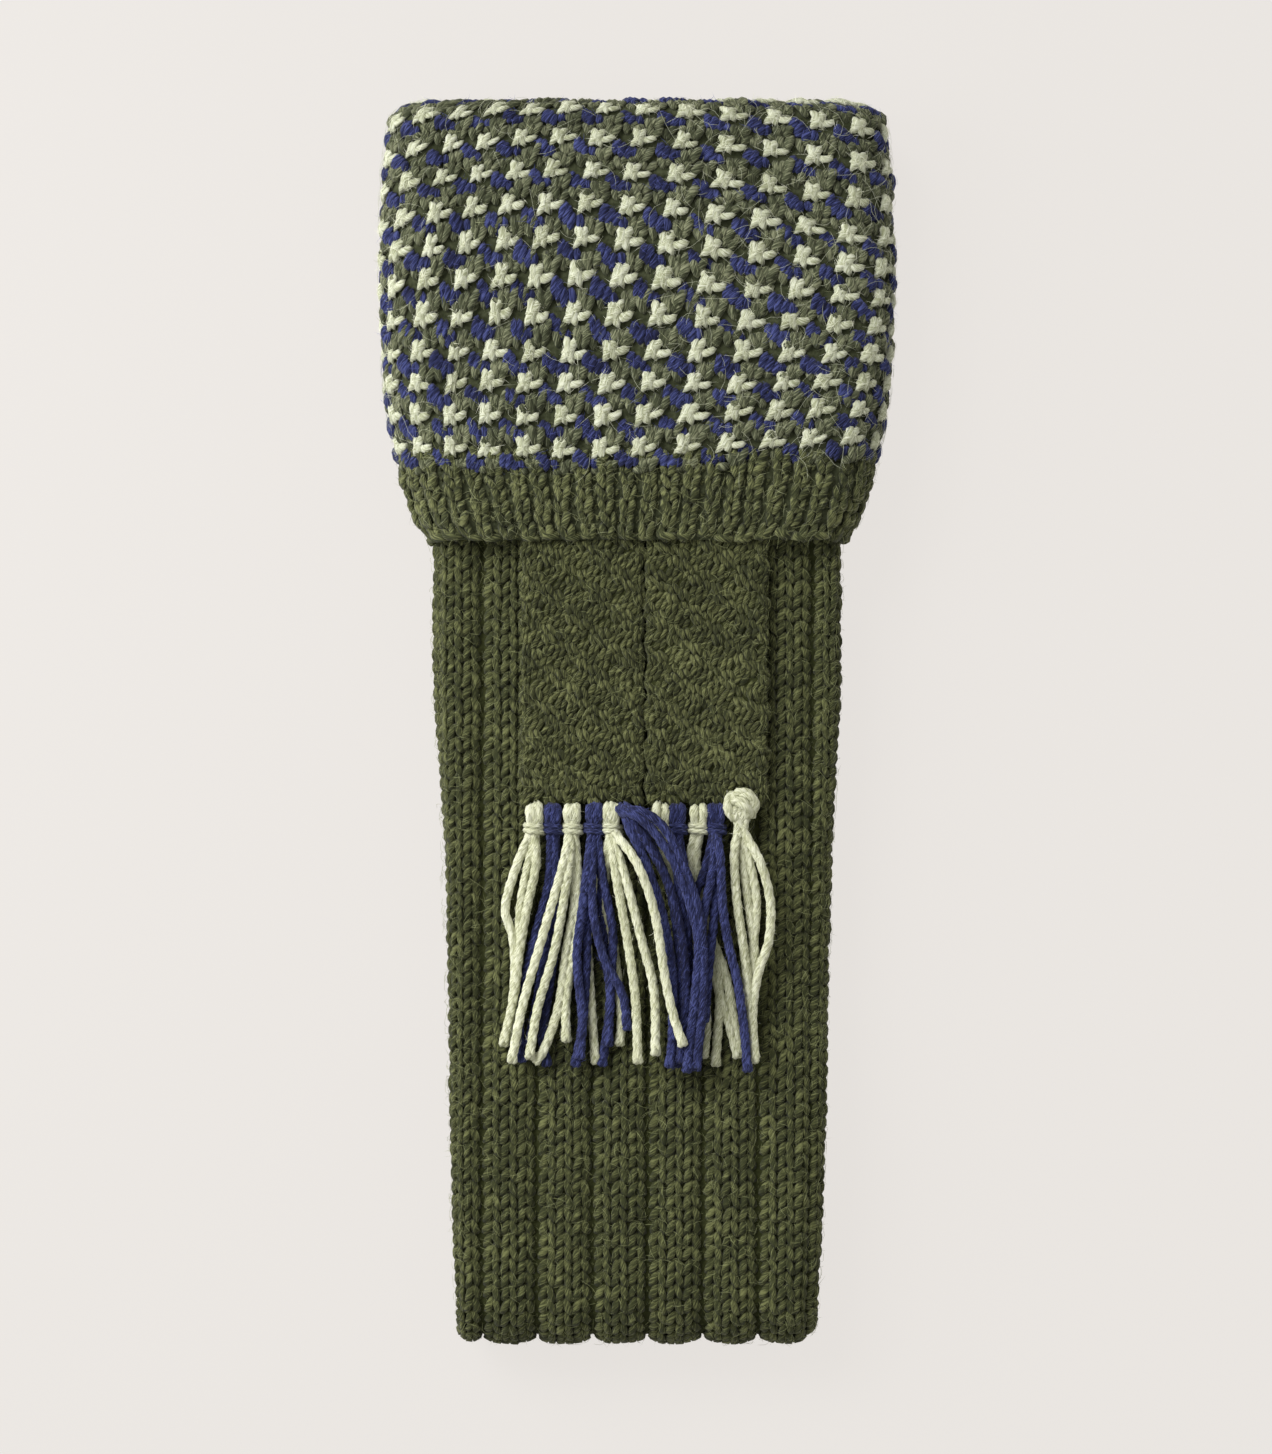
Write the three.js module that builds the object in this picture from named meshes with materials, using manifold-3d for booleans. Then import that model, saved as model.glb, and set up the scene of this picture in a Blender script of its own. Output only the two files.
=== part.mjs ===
// A knitted field sock laid flat: a ribbed leg, the foot folded back underneath it, a turned-over cuff
// with a rib welt, and a knitted garter whose two fringed ends hang out below the cuff.
// Millimetres, +Z up, +Y towards the cuff. The front of the leg faces up, and the origin is on the
// surface that the sock lies on, in the middle of its length and width.
import * as THREE from 'three';
import Module from 'manifold-3d';

const wasm = await Module();
wasm.setup();

// Leg: a tube in three-and-one rib, pressed flat but still open inside
const legWidthTop = 103.8;
const legWidthAnkle = 91;
const legWall = 3;
const legGap = 6;
const ribPitch = 13.9;
const ribDepth = 1.2;
const ribOffset = 2.6; // the valley nearest to the middle of the front
const ribCount = 16;
const legBelowCuff = 201.3; // hem of the cuff to the ankle fold

// Foot, folded back under the leg, and the heel cup tucked flat between the two
const footWall = 2.7;
const footGap = 1.6;
const footWidth = 86;
const toeWidth = 34;
const toeLength = 46;
const toeSetback = 6; // the toe stops this far short of the cuff's hem
const heelWall = 2.4;
const heelSlit = 0.6;
const heelWidth = 66;
const heelLength = 48;
const heelRound = 20;

// Turned-over cuff
const cuffDepth = 110.7;
const cuffOverhang = 12.8; // how far it stands out beyond the leg on each side
const cuffWall = 3.5;
const hemWall = 1.6;
const weltDepth = 20.2;
const weltRibs = 48;
const weltRelief = 0.6;

// Garter: a loop round the leg under the cuff, and its two ends
const garterWidth = 31.2;
const garterThickness = 3.2;
const garterEndGap = 0.6;
const garterDrop = 65.6; // how far the ends hang out below the cuff's hem
const loopThickness = 2.4;
const loopRise = 33; // from the cuff's hem up to the loop
const garterOffset = 1.9; // the middle of the two ends, from the middle of the cuff

// Tassels
const fringeLength = 66;
const strandDiameter = 2.6;
const knotWidth = 4.2;
const knotLength = 7;
const knotHeight = 3.4;

const clearance = 0.3;
const foldSteps = 6; // even, so that one section stands out furthest
const lockSides = 6;
const lockSteps = 6;
const yarnGreen = new THREE.Color(0.070, 0.079, 0.035);
const yarnCream = new THREE.Color(0.62, 0.64, 0.44);
const yarnNavy = new THREE.Color(0.022, 0.028, 0.130);
const cuffTweed = new THREE.Color(0.13, 0.14, 0.12);

// Heights above the surface, from the bottom up
const footHeight = 2 * footWall + footGap;
const heelHeight = 2 * heelWall + heelSlit;
const legHeight = 2 * legWall + legGap;
const legLow = footHeight + clearance;
const legTop = legLow + legHeight;
const cuffPadding = clearance + garterThickness + clearance + cuffWall; // outside of the leg to outside of the cuff
const cuffHeight = legHeight + 2 * cuffPadding;
const cuffMiddle = legLow + legHeight / 2;
const cuffLift = cuffMiddle - cuffHeight / 2;

// The ankle fold turns about a line across the sock, half way up the tucked heel
const foldZ = footHeight + clearance + heelHeight / 2;
const foldInner = heelHeight / 2 + clearance;
const foldOuterLeg = foldInner + legHeight;
const foldOuterFoot = foldInner + footHeight;
const foldReach = (foldOuterLeg + foldOuterFoot) / 2;

// Places along the sock
const foldedLength = cuffDepth + legBelowCuff;
const topY = foldedLength / 2;
const hemY = topY - cuffDepth;
const foldY = -foldedLength / 2 + foldReach;
const toeY = hemY - toeSetback;
const weltTopY = hemY + weltDepth;
const lipRadius = (cuffPadding + legWall) / 2; // outside of the rolled edge where leg and cuff are one cloth
const lipY = topY - lipRadius;
const garterEndY = hemY - garterDrop;
const heelTip = foldY + heelLength + 2 * clearance;

// How the leg narrows: down is the share of the way from hem to ankle fold, width the share of the taper left
const legTaper = [
  { down: 0.00, width: 1.00 },
  { down: 0.18, width: 1.00 },
  { down: 0.28, width: 0.80 },
  { down: 0.38, width: 0.62 },
  { down: 0.50, width: 0.50 },
  { down: 0.68, width: 0.35 },
  { down: 0.88, width: 0.16 },
  { down: 0.94, width: 0.00 },
];

// The cuff's outline: up is the share of its depth above the hem, bulge the share of the overhang
const cuffOutline = [
  { up: 0.00, bulge: 0.15 },
  { up: 0.05, bulge: 0.33 },
  { up: 0.10, bulge: 0.49 },
  { up: 0.14, bulge: 0.62 },
  { up: 0.18, bulge: 0.65 },
  { up: 0.32, bulge: 0.88 },
  { up: 0.46, bulge: 0.96 },
  { up: 0.64, bulge: 1.00 },
  { up: 0.82, bulge: 0.96 },
  { up: 1.00, bulge: 0.80 },
];

// The toe's outline: along is the share of the toe's length, narrow the share of the way to the tip's width
const toeOutline = [
  { along: 0.00, narrow: 0.00 },
  { along: 0.35, narrow: 0.12 },
  { along: 0.65, narrow: 0.36 },
  { along: 0.87, narrow: 0.70 },
  { along: 1.00, narrow: 1.00 },
];

// The tassels. at is the knot's place, across the two garter ends. Each lock lists its way down: its
// places across, evenly spaced down the fringe, its layer, and how far down it reaches. Places across
// are shares of a garter end's width from the middle of the two ends, and layers count up from the leg.
const tassels = [
  { name: 'tassel_01', colour: yarnCream, at: -0.90, locks: [
    { layer: 1, reach: 0.93, across: [-0.90, -1.06, -1.08, -1.03, -1.12] },
    { layer: 1, reach: 0.42, across: [-0.88, -0.90, -0.94, -0.97, -0.98] },
  ] },
  { name: 'tassel_02', colour: yarnNavy, at: -0.745, locks: [
    { layer: 0, reach: 0.90, across: [-0.76, -0.80, -0.88, -0.95, -1.00] },
    { layer: 0, reach: 1.00, across: [-0.73, -0.72, -0.72, -0.74, -0.79] },
  ] },
  { name: 'tassel_03', colour: yarnCream, at: -0.59, locks: [
    { layer: 1, reach: 0.98, across: [-0.61, -0.69, -0.79, -0.91, -1.01] },
    { layer: 1, reach: 0.98, across: [-0.57, -0.58, -0.64, -0.75, -0.88] },
  ] },
  { name: 'tassel_04', colour: yarnNavy, at: -0.435, locks: [
    { layer: 0, reach: 0.97, across: [-0.46, -0.51, -0.54, -0.50, -0.53] },
    { layer: 0, reach: 0.94, across: [-0.41, -0.36, -0.30, -0.24, -0.30] },
  ] },
  { name: 'tassel_05', colour: yarnCream, at: -0.28, locks: [
    { layer: 1, reach: 0.98, across: [-0.30, -0.24, -0.14, -0.07, -0.04] },
    { layer: 1, reach: 0.97, across: [-0.27, -0.15, -0.01, 0.07, 0.07] },
    { layer: 1, reach: 0.92, across: [-0.24, -0.02, 0.12, 0.19, 0.29] },
  ] },
  { name: 'tassel_06', colour: yarnNavy, at: -0.125, locks: [
    { layer: 2, reach: 1.00, across: [-0.08, 0.27, 0.39, 0.36, 0.37] },
    { layer: 2, reach: 0.60, across: [-0.12, 0.08, 0.17, 0.21, 0.24] },
  ] },
  { name: 'tassel_07', colour: yarnCream, at: 0.13, locks: [
    { layer: 0, reach: 0.98, across: [0.13, 0.20, 0.30, 0.42, 0.49] },
  ] },
  { name: 'tassel_08', colour: yarnNavy, at: 0.29, locks: [
    { layer: 1, reach: 0.60, across: [0.29, 0.32, 0.33, 0.33, 0.33] },
  ] },
  { name: 'tassel_09', colour: yarnCream, at: 0.45, locks: [
    { layer: 1, reach: 0.99, across: [0.45, 0.45, 0.52, 0.60, 0.57] },
  ] },
  { name: 'tassel_10', colour: yarnNavy, at: 0.61, locks: [
    { layer: 0, reach: 1.00, across: [0.63, 0.65, 0.67, 0.77, 0.82] },
    { layer: 0, reach: 0.80, across: [0.59, 0.55, 0.56, 0.54, 0.53] },
  ] },
  { name: 'tassel_11', colour: yarnCream, at: 0.785, locks: [
    { layer: 1, reach: 0.98, across: [0.80, 0.94, 1.01, 0.93, 0.87] },
    { layer: 1, reach: 0.72, across: [0.76, 0.73, 0.76, 0.79, 0.80] },
  ] },
];

const woolMaterial = (name, colour) =>
  new THREE.MeshStandardMaterial({ name: `${name}_wool`, color: colour, roughness: 0.95, metalness: 0 });

// The value of one column of a table at a given place in another, with straight runs between the rows
function readTable(rows, from, to, place) {
  const next = rows.findIndex((row) => row[from] >= place);
  if (next < 0) return rows[rows.length - 1][to];
  if (next === 0) return rows[0][to];
  const [a, b] = [rows[next - 1], rows[next]];
  return THREE.MathUtils.lerp(a[to], b[to], (place - a[from]) / (b[from] - a[from]));
}

// Half the way round a flattened tube: flat above and below, half round at each side
const halfGirth = (width, height) => width - height + (Math.PI * height) / 2;

// The point and outward direction at a signed distance round a flattened tube, from the middle of its top
function outlinePoint(distance, width, height) {
  const radius = height / 2;
  const flat = width / 2 - radius;
  const half = halfGirth(width, height);
  const wrapped = THREE.MathUtils.euclideanModulo(distance + half, 2 * half) - half;
  const side = wrapped < 0 ? -1 : 1;
  const along = Math.abs(wrapped);
  if (along <= flat) return { across: wrapped, up: radius, outAcross: 0, outUp: 1 };
  if (along >= half - flat) return { across: side * (half - along), up: -radius, outAcross: 0, outUp: -1 };
  const angle = (along - flat) / radius;
  return {
    across: side * (flat + radius * Math.sin(angle)),
    up: radius * Math.cos(angle),
    outAcross: side * Math.sin(angle),
    outUp: Math.cos(angle),
  };
}

// A ring of points round a flattened tube. A section stands upright at y, or is turned about a line
// across the sock at y and pivotZ, and low and high are then its distances from that line.
// rounds lists the places round the ring, each with its distance and its dip below the outline.
function ringOf(section, rounds, inset = 0) {
  const { width, low, high, y, pivotZ = 0, turn = 0, shift = 0 } = section;
  const height = high - low;
  return rounds(halfGirth(width, height), (width - height) / 2).map(({ distance, dip }) => {
    const p = outlinePoint(distance, width, height);
    const depth = inset > 0 ? inset : dip;
    const away = (low + high) / 2 + p.up - p.outUp * depth;
    return new THREE.Vector3(
      shift + p.across - p.outAcross * depth,
      y - away * Math.sin(turn),
      pivotZ + away * Math.cos(turn),
    );
  });
}

// Places round the leg: four to each rib. The ribs keep their pitch on the front and close up at the back.
function ribRounds(half) {
  const frontRibs = ribCount / 4;
  const backPitch = (half - frontRibs * ribPitch) / (ribCount / 2 - frontRibs);
  const profile = [
    { at: 0, dip: ribDepth },
    { at: 0.17, dip: ribDepth * 0.18 },
    { at: 0.5, dip: 0 },
    { at: 0.83, dip: ribDepth * 0.18 },
  ];
  const rounds = [];
  for (let rib = -ribCount / 2; rib < ribCount / 2; rib++) {
    for (const { at, dip } of profile) {
      const place = rib + at;
      const beyond = Math.max(0, Math.abs(place) - frontRibs);
      const distance = Math.sign(place) * (Math.min(Math.abs(place), frontRibs) * ribPitch + beyond * backPitch);
      rounds.push({ distance: distance + ribOffset, dip });
    }
  }
  return rounds;
}

// Evenly spaced places round a tube, every other one dipped by relief
const evenRounds = (count, relief = 0) => (half) =>
  Array.from({ length: count }, (_, i) => ({
    distance: -half + (2 * half * i) / count,
    dip: i % 2 ? relief : 0,
  }));

// Places round a plain tube: a few steps along each flat, and finer ones round each side
const plainRounds = (flatSteps, sideSteps) => (half, flat) => {
  const spread = (from, to, steps) => Array.from({ length: steps }, (_, i) => from + ((to - from) * i) / steps);
  return [
    ...spread(-flat, flat, flatSteps),
    ...spread(flat, half - flat, sideSteps),
    ...spread(half - flat, half + flat, flatSteps),
    ...spread(half + flat, 2 * half - flat, sideSteps),
  ].map((distance) => ({ distance, dip: 0 }));
};

// A closed skin through a list of rings. A loop joins the last ring to the first, and otherwise
// both ends are closed flat.
function skinRings(rings, loop) {
  const size = rings[0].length;
  const points = rings.flat();
  const faces = [];
  const joins = loop ? rings.length : rings.length - 1;
  for (let r = 0; r < joins; r++) {
    const here = r * size;
    const there = ((r + 1) % rings.length) * size;
    for (let i = 0; i < size; i++) {
      const j = (i + 1) % size;
      faces.push(here + i, here + j, there + j, here + i, there + j, there + i);
    }
  }
  if (!loop) {
    for (const [ring, start, order] of [[rings[0], 0, 1], [rings[rings.length - 1], points.length - size, -1]]) {
      const centre = points.length;
      points.push(ring.reduce((sum, p) => sum.add(p), new THREE.Vector3()).divideScalar(size));
      for (let i = 0; i < size; i++) {
        const j = (i + 1) % size;
        faces.push(...(order > 0 ? [centre, start + j, start + i] : [centre, start + i, start + j]));
      }
    }
  }
  let volume = 0;
  for (let f = 0; f < faces.length; f += 3) {
    const [a, b, c] = [points[faces[f]], points[faces[f + 1]], points[faces[f + 2]]];
    volume += a.dot(b.clone().cross(c));
  }
  if (volume < 0) faces.reverse();
  const geometry = new THREE.BufferGeometry().setFromPoints(points);
  geometry.setIndex(faces);
  return geometry;
}

function toManifold(geometry) {
  return new wasm.Manifold(new wasm.Mesh({
    numProp: 3,
    vertProperties: new Float32Array(geometry.getAttribute('position').array),
    triVerts: new Uint32Array(geometry.getIndex().array),
  }));
}

function fromManifold(solid) {
  const mesh = solid.getMesh();
  const places = new Float32Array(mesh.numVert * 3);
  for (let i = 0; i < mesh.numVert; i++) {
    places.set(mesh.vertProperties.subarray(i * mesh.numProp, i * mesh.numProp + 3), i * 3);
  }
  const geometry = new THREE.BufferGeometry();
  geometry.setAttribute('position', new THREE.BufferAttribute(places, 3));
  geometry.setIndex(new THREE.BufferAttribute(mesh.triVerts, 1));
  return geometry;
}

function meshOf(name, geometry, colour) {
  const flat = geometry.index ? geometry.toNonIndexed() : geometry;
  flat.computeVertexNormals();
  const mesh = new THREE.Mesh(flat, woolMaterial(name, colour));
  mesh.name = name;
  return mesh;
}

// A box between two corners, as a ring skin
function blockRings([x0, y0, z0], [x1, y1, z1]) {
  const corners = (y) => [[x0, z0], [x1, z0], [x1, z1], [x0, z1]].map(([x, z]) => new THREE.Vector3(x, y, z));
  return skinRings([corners(y0), corners(y1)], false);
}

// Where the leg comes down off the tucked heel: along is the share of the heel's length past its tip,
// and lift the share of the heel's thickness that is left under the leg
const legSettle = [
  { along: 0.00, lift: 1.00 },
  { along: 0.25, lift: 0.60 },
  { along: 0.50, lift: 0.14 },
  { along: 0.70, lift: 0.00 },
];

function legSection(y) {
  const down = (hemY - y) / legBelowCuff;
  const width = THREE.MathUtils.lerp(legWidthAnkle, legWidthTop, readTable(legTaper, 'down', 'width', down));
  const lift = readTable(legSettle, 'along', 'lift', (y - heelTip) / heelLength);
  const low = THREE.MathUtils.lerp(legLow, foldZ + foldInner, lift);
  return { width, low, high: low + legHeight, y };
}

function foldSections(steps) {
  return Array.from({ length: steps }, (_, i) => {
    const share = (i + 1) / steps;
    const high = THREE.MathUtils.lerp(foldOuterLeg, foldOuterFoot, share);
    return { width: legWidthAnkle, low: foldInner, high, y: foldY, pivotZ: foldZ, turn: Math.PI * share, share };
  });
}

const legWallAt = ({ share = 0 }) => THREE.MathUtils.lerp(legWall, footWall, share);

// A length of the ribbed tube, open at both ends
function ribbedTube(sections) {
  const outer = sections.map((s) => ringOf(s, ribRounds));
  const inner = sections.map((s) => ringOf(s, ribRounds, legWallAt(s)));
  return skinRings([...outer, ...inner.reverse()], true);
}

const settleYs = legSettle.map(({ along }) => heelTip + along * heelLength).reverse();

const makeLeg = () => ribbedTube([
  lipY - clearance, hemY - 0.18 * legBelowCuff, hemY - 0.28 * legBelowCuff, settleYs[0] + clearance,
].map(legSection));

// The stretch of the leg that climbs onto the tucked heel
const makeLowerLeg = () => ribbedTube(settleYs.map(legSection));

// The leg's last stretch, over the tucked heel and round the fold to the foot
function makeAnkle() {
  const start = legSection(heelTip - clearance);
  const tube = toManifold(ribbedTube([start, legSection(foldY), ...foldSections(foldSteps)]));
  // The mouth of the heel cup opens through the back wall, inside the fold
  const mouth = (heelWidth - 2 * heelWall) / 2;
  const slot = blockRings(
    [-mouth, foldY - foldInner - 1.3 * legWall, foldZ - heelSlit / 2],
    [mouth, foldY, foldZ + heelSlit / 2],
  );
  return fromManifold(tube.subtract(toManifold(slot)));
}

function makeFoot() {
  const footEnd = toeY - toeLength;
  const rows = [
    { y: foldY + clearance, width: legWidthAnkle },
    { y: foldY + 0.2 * (footEnd - foldY), width: footWidth },
    ...toeOutline.map(({ along, narrow }) => ({
      y: footEnd + along * toeLength,
      width: THREE.MathUtils.lerp(footWidth, toeWidth, narrow),
    })),
  ];
  const sections = rows.map(({ y, width }) =>
    ({ y, width, low: foldInner, high: foldOuterFoot, pivotZ: foldZ, turn: Math.PI }));
  const rounds = plainRounds(6, 6);
  const outer = sections.map((s) => ringOf(s, rounds));
  const inner = sections.map((s, i) => {
    const last = i === sections.length - 1;
    return ringOf({ ...s, y: last ? s.y - footWall : s.y }, rounds, footWall);
  });
  return skinRings([...inner.reverse(), ...outer], false);
}

// The heel cup, pressed flat: a pocket with its mouth at the fold and a rounded tip
function makeHeel() {
  const plan = (inset, start) => {
    const half = heelWidth / 2 - inset;
    const straightTo = heelLength - heelRound;
    const shape = new THREE.Shape();
    shape.moveTo(-half, start);
    shape.lineTo(half, start);
    shape.lineTo(half, straightTo);
    shape.bezierCurveTo(half, heelLength - 0.3 * heelRound - inset, half * 0.6, heelLength - inset,
      0, heelLength - inset);
    shape.bezierCurveTo(-half * 0.6, heelLength - inset, -half, heelLength - 0.3 * heelRound - inset,
      -half, straightTo);
    return shape;
  };
  const bevel = heelWall * 0.6;
  const shell = new THREE.ExtrudeGeometry(plan(bevel, bevel), {
    depth: heelHeight - 2 * bevel, bevelThickness: bevel, bevelSize: bevel, bevelSegments: 2, curveSegments: 8,
  }).translate(0, foldY, foldZ - heelHeight / 2 + bevel);
  const slit = new THREE.ExtrudeGeometry(plan(heelWall, -1), {
    depth: heelSlit, bevelEnabled: false, curveSegments: 8,
  }).translate(0, foldY, foldZ - heelSlit / 2);
  return fromManifold(toManifold(weld(shell)).subtract(toManifold(weld(slit))));
}

// Keeps only positions and merges the shared ones
function weld(geometry) {
  const source = geometry.index ? geometry.toNonIndexed() : geometry;
  const position = source.getAttribute('position');
  const seen = new Map();
  const points = [];
  const faces = [];
  for (let i = 0; i < position.count; i++) {
    const p = new THREE.Vector3().fromBufferAttribute(position, i);
    const key = p.toArray().map((v) => Math.round(v * 1e3)).join();
    if (!seen.has(key)) {
      seen.set(key, points.length);
      points.push(p);
    }
    faces.push(seen.get(key));
  }
  const kept = [];
  for (let f = 0; f < faces.length; f += 3) {
    const [a, b, c] = faces.slice(f, f + 3);
    if (a !== b && b !== c && c !== a) kept.push(a, b, c);
  }
  return new THREE.BufferGeometry().setFromPoints(points).setIndex(kept);
}

function cuffSection(y, narrow = 0, shrink = 0) {
  const bulge = readTable(cuffOutline, 'up', 'bulge', (y - hemY) / cuffDepth);
  const width = legWidthTop + 2 * cuffOverhang * bulge - 2 * narrow;
  return { width, low: cuffLift + shrink, high: cuffLift + cuffHeight - shrink, y };
}

// The patterned part, up to the roll at the top where it turns over and meets the leg's edge
function makeCuffPattern() {
  const rounds = plainRounds(12, 10);
  const lipWidth = cuffSection(lipY).width;
  const cornerDraw = (lipWidth - 2 * cuffPadding - legWidthTop) / 2;
  const roll = (radius, angle) => {
    const inset = lipRadius - radius * Math.cos(angle);
    const draw = cornerDraw * Math.min(1, 2 * angle / Math.PI) ** 1.5;
    return ringOf({
      width: lipWidth - 2 * (inset + draw),
      low: cuffLift + inset,
      high: cuffLift + cuffHeight - inset,
      y: lipY + radius * Math.sin(angle),
    }, rounds);
  };
  const angles = (steps) => Array.from({ length: steps + 1 }, (_, i) => (Math.PI * i) / steps);
  const shares = [0, 0.25, 0.5, 0.75];
  const wallYs = shares.map((s) => THREE.MathUtils.lerp(weltTopY, lipY, s));
  const outer = wallYs.map((y) => ringOf(cuffSection(y), rounds));
  const inner = wallYs.filter((_, i) => i % 2 === 0).map((y) => ringOf(cuffSection(y), rounds, cuffWall));
  const overTop = angles(6).map((angle) => roll(lipRadius, angle));
  const underTop = angles(3).reverse().map((angle) => roll(lipRadius - cuffWall * (1 - angle / Math.PI)
    - legWall * (angle / Math.PI), angle));
  return skinRings([...outer, ...overTop, ...underTop, ...inner.reverse()], true);
}

// The rib welt at the cuff's lower edge, thinning to its cast-off hem
function makeCuffWelt() {
  const rounds = evenRounds(2 * weltRibs, weltRelief);
  const smooth = evenRounds(2 * weltRibs);
  const thin = cuffWall - hemWall;
  const edge = 1.2;
  const rows = [
    { y: weltTopY - clearance, shrink: 0 },
    { y: hemY + 0.55 * weltDepth, shrink: 0 },
    { y: hemY + edge, shrink: thin },
  ];
  const sections = rows.map(({ y, shrink }) => cuffSection(y, 0, shrink));
  const outer = sections.map((s) => ringOf(s, rounds));
  const inner = sections.map((s, i) => ringOf(s, smooth, cuffWall - rows[i].shrink));
  const tip = ringOf(cuffSection(hemY, 0, thin), smooth, hemWall / 2);
  return skinRings([...outer, tip, ...inner.reverse()], true);
}

const garterLoopY = hemY + loopRise;

function makeGarterLoop() {
  const rounds = plainRounds(5, 12);
  const around = (y, extra) => {
    const leg = legSection(y);
    return ringOf({
      width: leg.width + 2 * extra, low: leg.low - extra, high: leg.high + extra, y,
    }, rounds);
  };
  const [bottom, top] = [garterLoopY, garterLoopY + garterWidth];
  const outside = clearance + loopThickness;
  return skinRings([around(bottom, outside), around(top, outside), around(top, clearance),
    around(bottom, clearance)], true);
}

// One hanging end of the garter: a flat knitted strip with soft edges
function makeGarterEnd(side) {
  const soft = garterThickness * 0.28;
  const half = garterWidth / 2;
  const shape = new THREE.Shape();
  shape.moveTo(-half, soft);
  shape.lineTo(-half + soft, 0);
  shape.lineTo(half - soft, 0);
  shape.lineTo(half, soft);
  shape.lineTo(half, garterThickness - soft);
  shape.lineTo(half - soft, garterThickness);
  shape.lineTo(-half + soft, garterThickness);
  shape.lineTo(-half, garterThickness - soft);
  shape.closePath();
  const length = garterLoopY - clearance - garterEndY;
  return new THREE.ExtrudeGeometry(shape, { depth: length, bevelEnabled: false })
    .rotateX(Math.PI / 2)
    .translate(garterOffset + side * (half + garterEndGap / 2), garterEndY + length, legTop + clearance);
}

const layerZ = (layer, y) =>
  legSection(y).high + 2 * clearance + strandDiameter / 2 + layer * (strandDiameter + clearance);

// A lock of yarn from the knot down the fringe
function makeLock({ layer, reach, across }, knotZ) {
  const startY = garterEndY - clearance - knotLength * 0.6;
  const run = fringeLength * reach - knotLength * 0.6;
  const middle = new THREE.CatmullRomCurve3(across.map((place, i) => {
    const down = i / (across.length - 1);
    const y = startY - down * run;
    const z = i === 0 ? knotZ : layerZ(layer, y);
    return new THREE.Vector3(garterOffset + place * garterWidth, y, z);
  }));
  const section = new THREE.Shape(Array.from({ length: lockSides }, (_, i) => {
    const angle = (2 * Math.PI * i) / lockSides;
    return new THREE.Vector2(Math.cos(angle), Math.sin(angle)).multiplyScalar(strandDiameter / 2);
  }));
  return new THREE.ExtrudeGeometry(section, { steps: lockSteps, extrudePath: middle });
}

// The knot and its locks, fused into one body
function makeTassel({ at, locks }) {
  const knotZ = legTop + clearance + Math.max(garterThickness, knotHeight) / 2;
  const knot = new THREE.SphereGeometry(0.5, 8, 6)
    .scale(knotWidth, knotLength, knotHeight)
    .translate(garterOffset + at * garterWidth, garterEndY - clearance - knotLength / 2, knotZ);
  return fromManifold(locks.reduce(
    (body, lock) => body.add(toManifold(weld(makeLock(lock, knotZ)))),
    toManifold(weld(knot)),
  ));
}

const pieces = [
  { name: 'leg', make: makeLeg, colour: yarnGreen },
  { name: 'lower_leg', make: makeLowerLeg, colour: yarnGreen },
  { name: 'ankle', make: makeAnkle, colour: yarnGreen },
  { name: 'foot', make: makeFoot, colour: yarnGreen },
  { name: 'heel', make: makeHeel, colour: yarnGreen },
  { name: 'cuff_pattern', make: makeCuffPattern, colour: cuffTweed },
  { name: 'cuff_welt', make: makeCuffWelt, colour: yarnGreen },
  { name: 'garter_loop', make: makeGarterLoop, colour: yarnGreen },
  { name: 'garter_end_left', make: () => makeGarterEnd(-1), colour: yarnGreen },
  { name: 'garter_end_right', make: () => makeGarterEnd(1), colour: yarnGreen },
  ...tassels.map((tassel) => ({ name: tassel.name, make: () => makeTassel(tassel), colour: tassel.colour })),
];

const sock = new THREE.Group();
for (const { name, make, colour } of pieces) sock.add(meshOf(name, make(), colour));

export default sock;
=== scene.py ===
import math
import random
import bpy
import numpy as np
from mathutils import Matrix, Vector


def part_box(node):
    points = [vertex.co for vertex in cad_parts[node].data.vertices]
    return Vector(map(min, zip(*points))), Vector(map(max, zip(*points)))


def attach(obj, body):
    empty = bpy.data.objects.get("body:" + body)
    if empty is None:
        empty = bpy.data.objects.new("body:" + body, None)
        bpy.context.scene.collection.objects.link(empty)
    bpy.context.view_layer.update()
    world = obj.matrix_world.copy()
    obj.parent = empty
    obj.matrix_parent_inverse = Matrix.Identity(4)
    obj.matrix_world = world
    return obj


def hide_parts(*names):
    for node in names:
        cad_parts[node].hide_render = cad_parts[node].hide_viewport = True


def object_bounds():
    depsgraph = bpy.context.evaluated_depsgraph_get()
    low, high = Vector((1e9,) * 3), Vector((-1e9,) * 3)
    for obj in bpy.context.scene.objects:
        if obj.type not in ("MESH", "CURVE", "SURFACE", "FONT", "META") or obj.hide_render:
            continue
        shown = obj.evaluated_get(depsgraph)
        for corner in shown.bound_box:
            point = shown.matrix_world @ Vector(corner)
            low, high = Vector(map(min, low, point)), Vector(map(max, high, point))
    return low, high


# A hand-knitted field sock laid flat, seen from straight above.
# Lengths in the dictionaries are millimetres, and meshes are made in metres.
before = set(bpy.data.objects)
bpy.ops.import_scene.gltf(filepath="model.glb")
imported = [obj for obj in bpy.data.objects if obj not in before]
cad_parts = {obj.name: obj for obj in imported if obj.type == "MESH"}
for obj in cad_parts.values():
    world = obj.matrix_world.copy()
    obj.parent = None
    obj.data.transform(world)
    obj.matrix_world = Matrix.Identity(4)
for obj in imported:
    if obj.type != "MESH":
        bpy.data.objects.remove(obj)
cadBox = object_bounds()
mm = 0.001

endY = cadBox[0].y / mm
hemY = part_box("cuff_welt")[0].y / mm
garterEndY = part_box("garter_end_left")[0].y / mm
loopUnder = 2.7  # the garter loop's wall and gap, which lie below the leg
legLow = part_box("garter_loop")[0].z / mm + loopUnder
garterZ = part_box("garter_end_left")[0].z / mm
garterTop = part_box("garter_end_left")[1].z / mm


def showObject(thing):
    bpy.context.scene.collection.objects.link(thing)
    return thing


# camera and light

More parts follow.
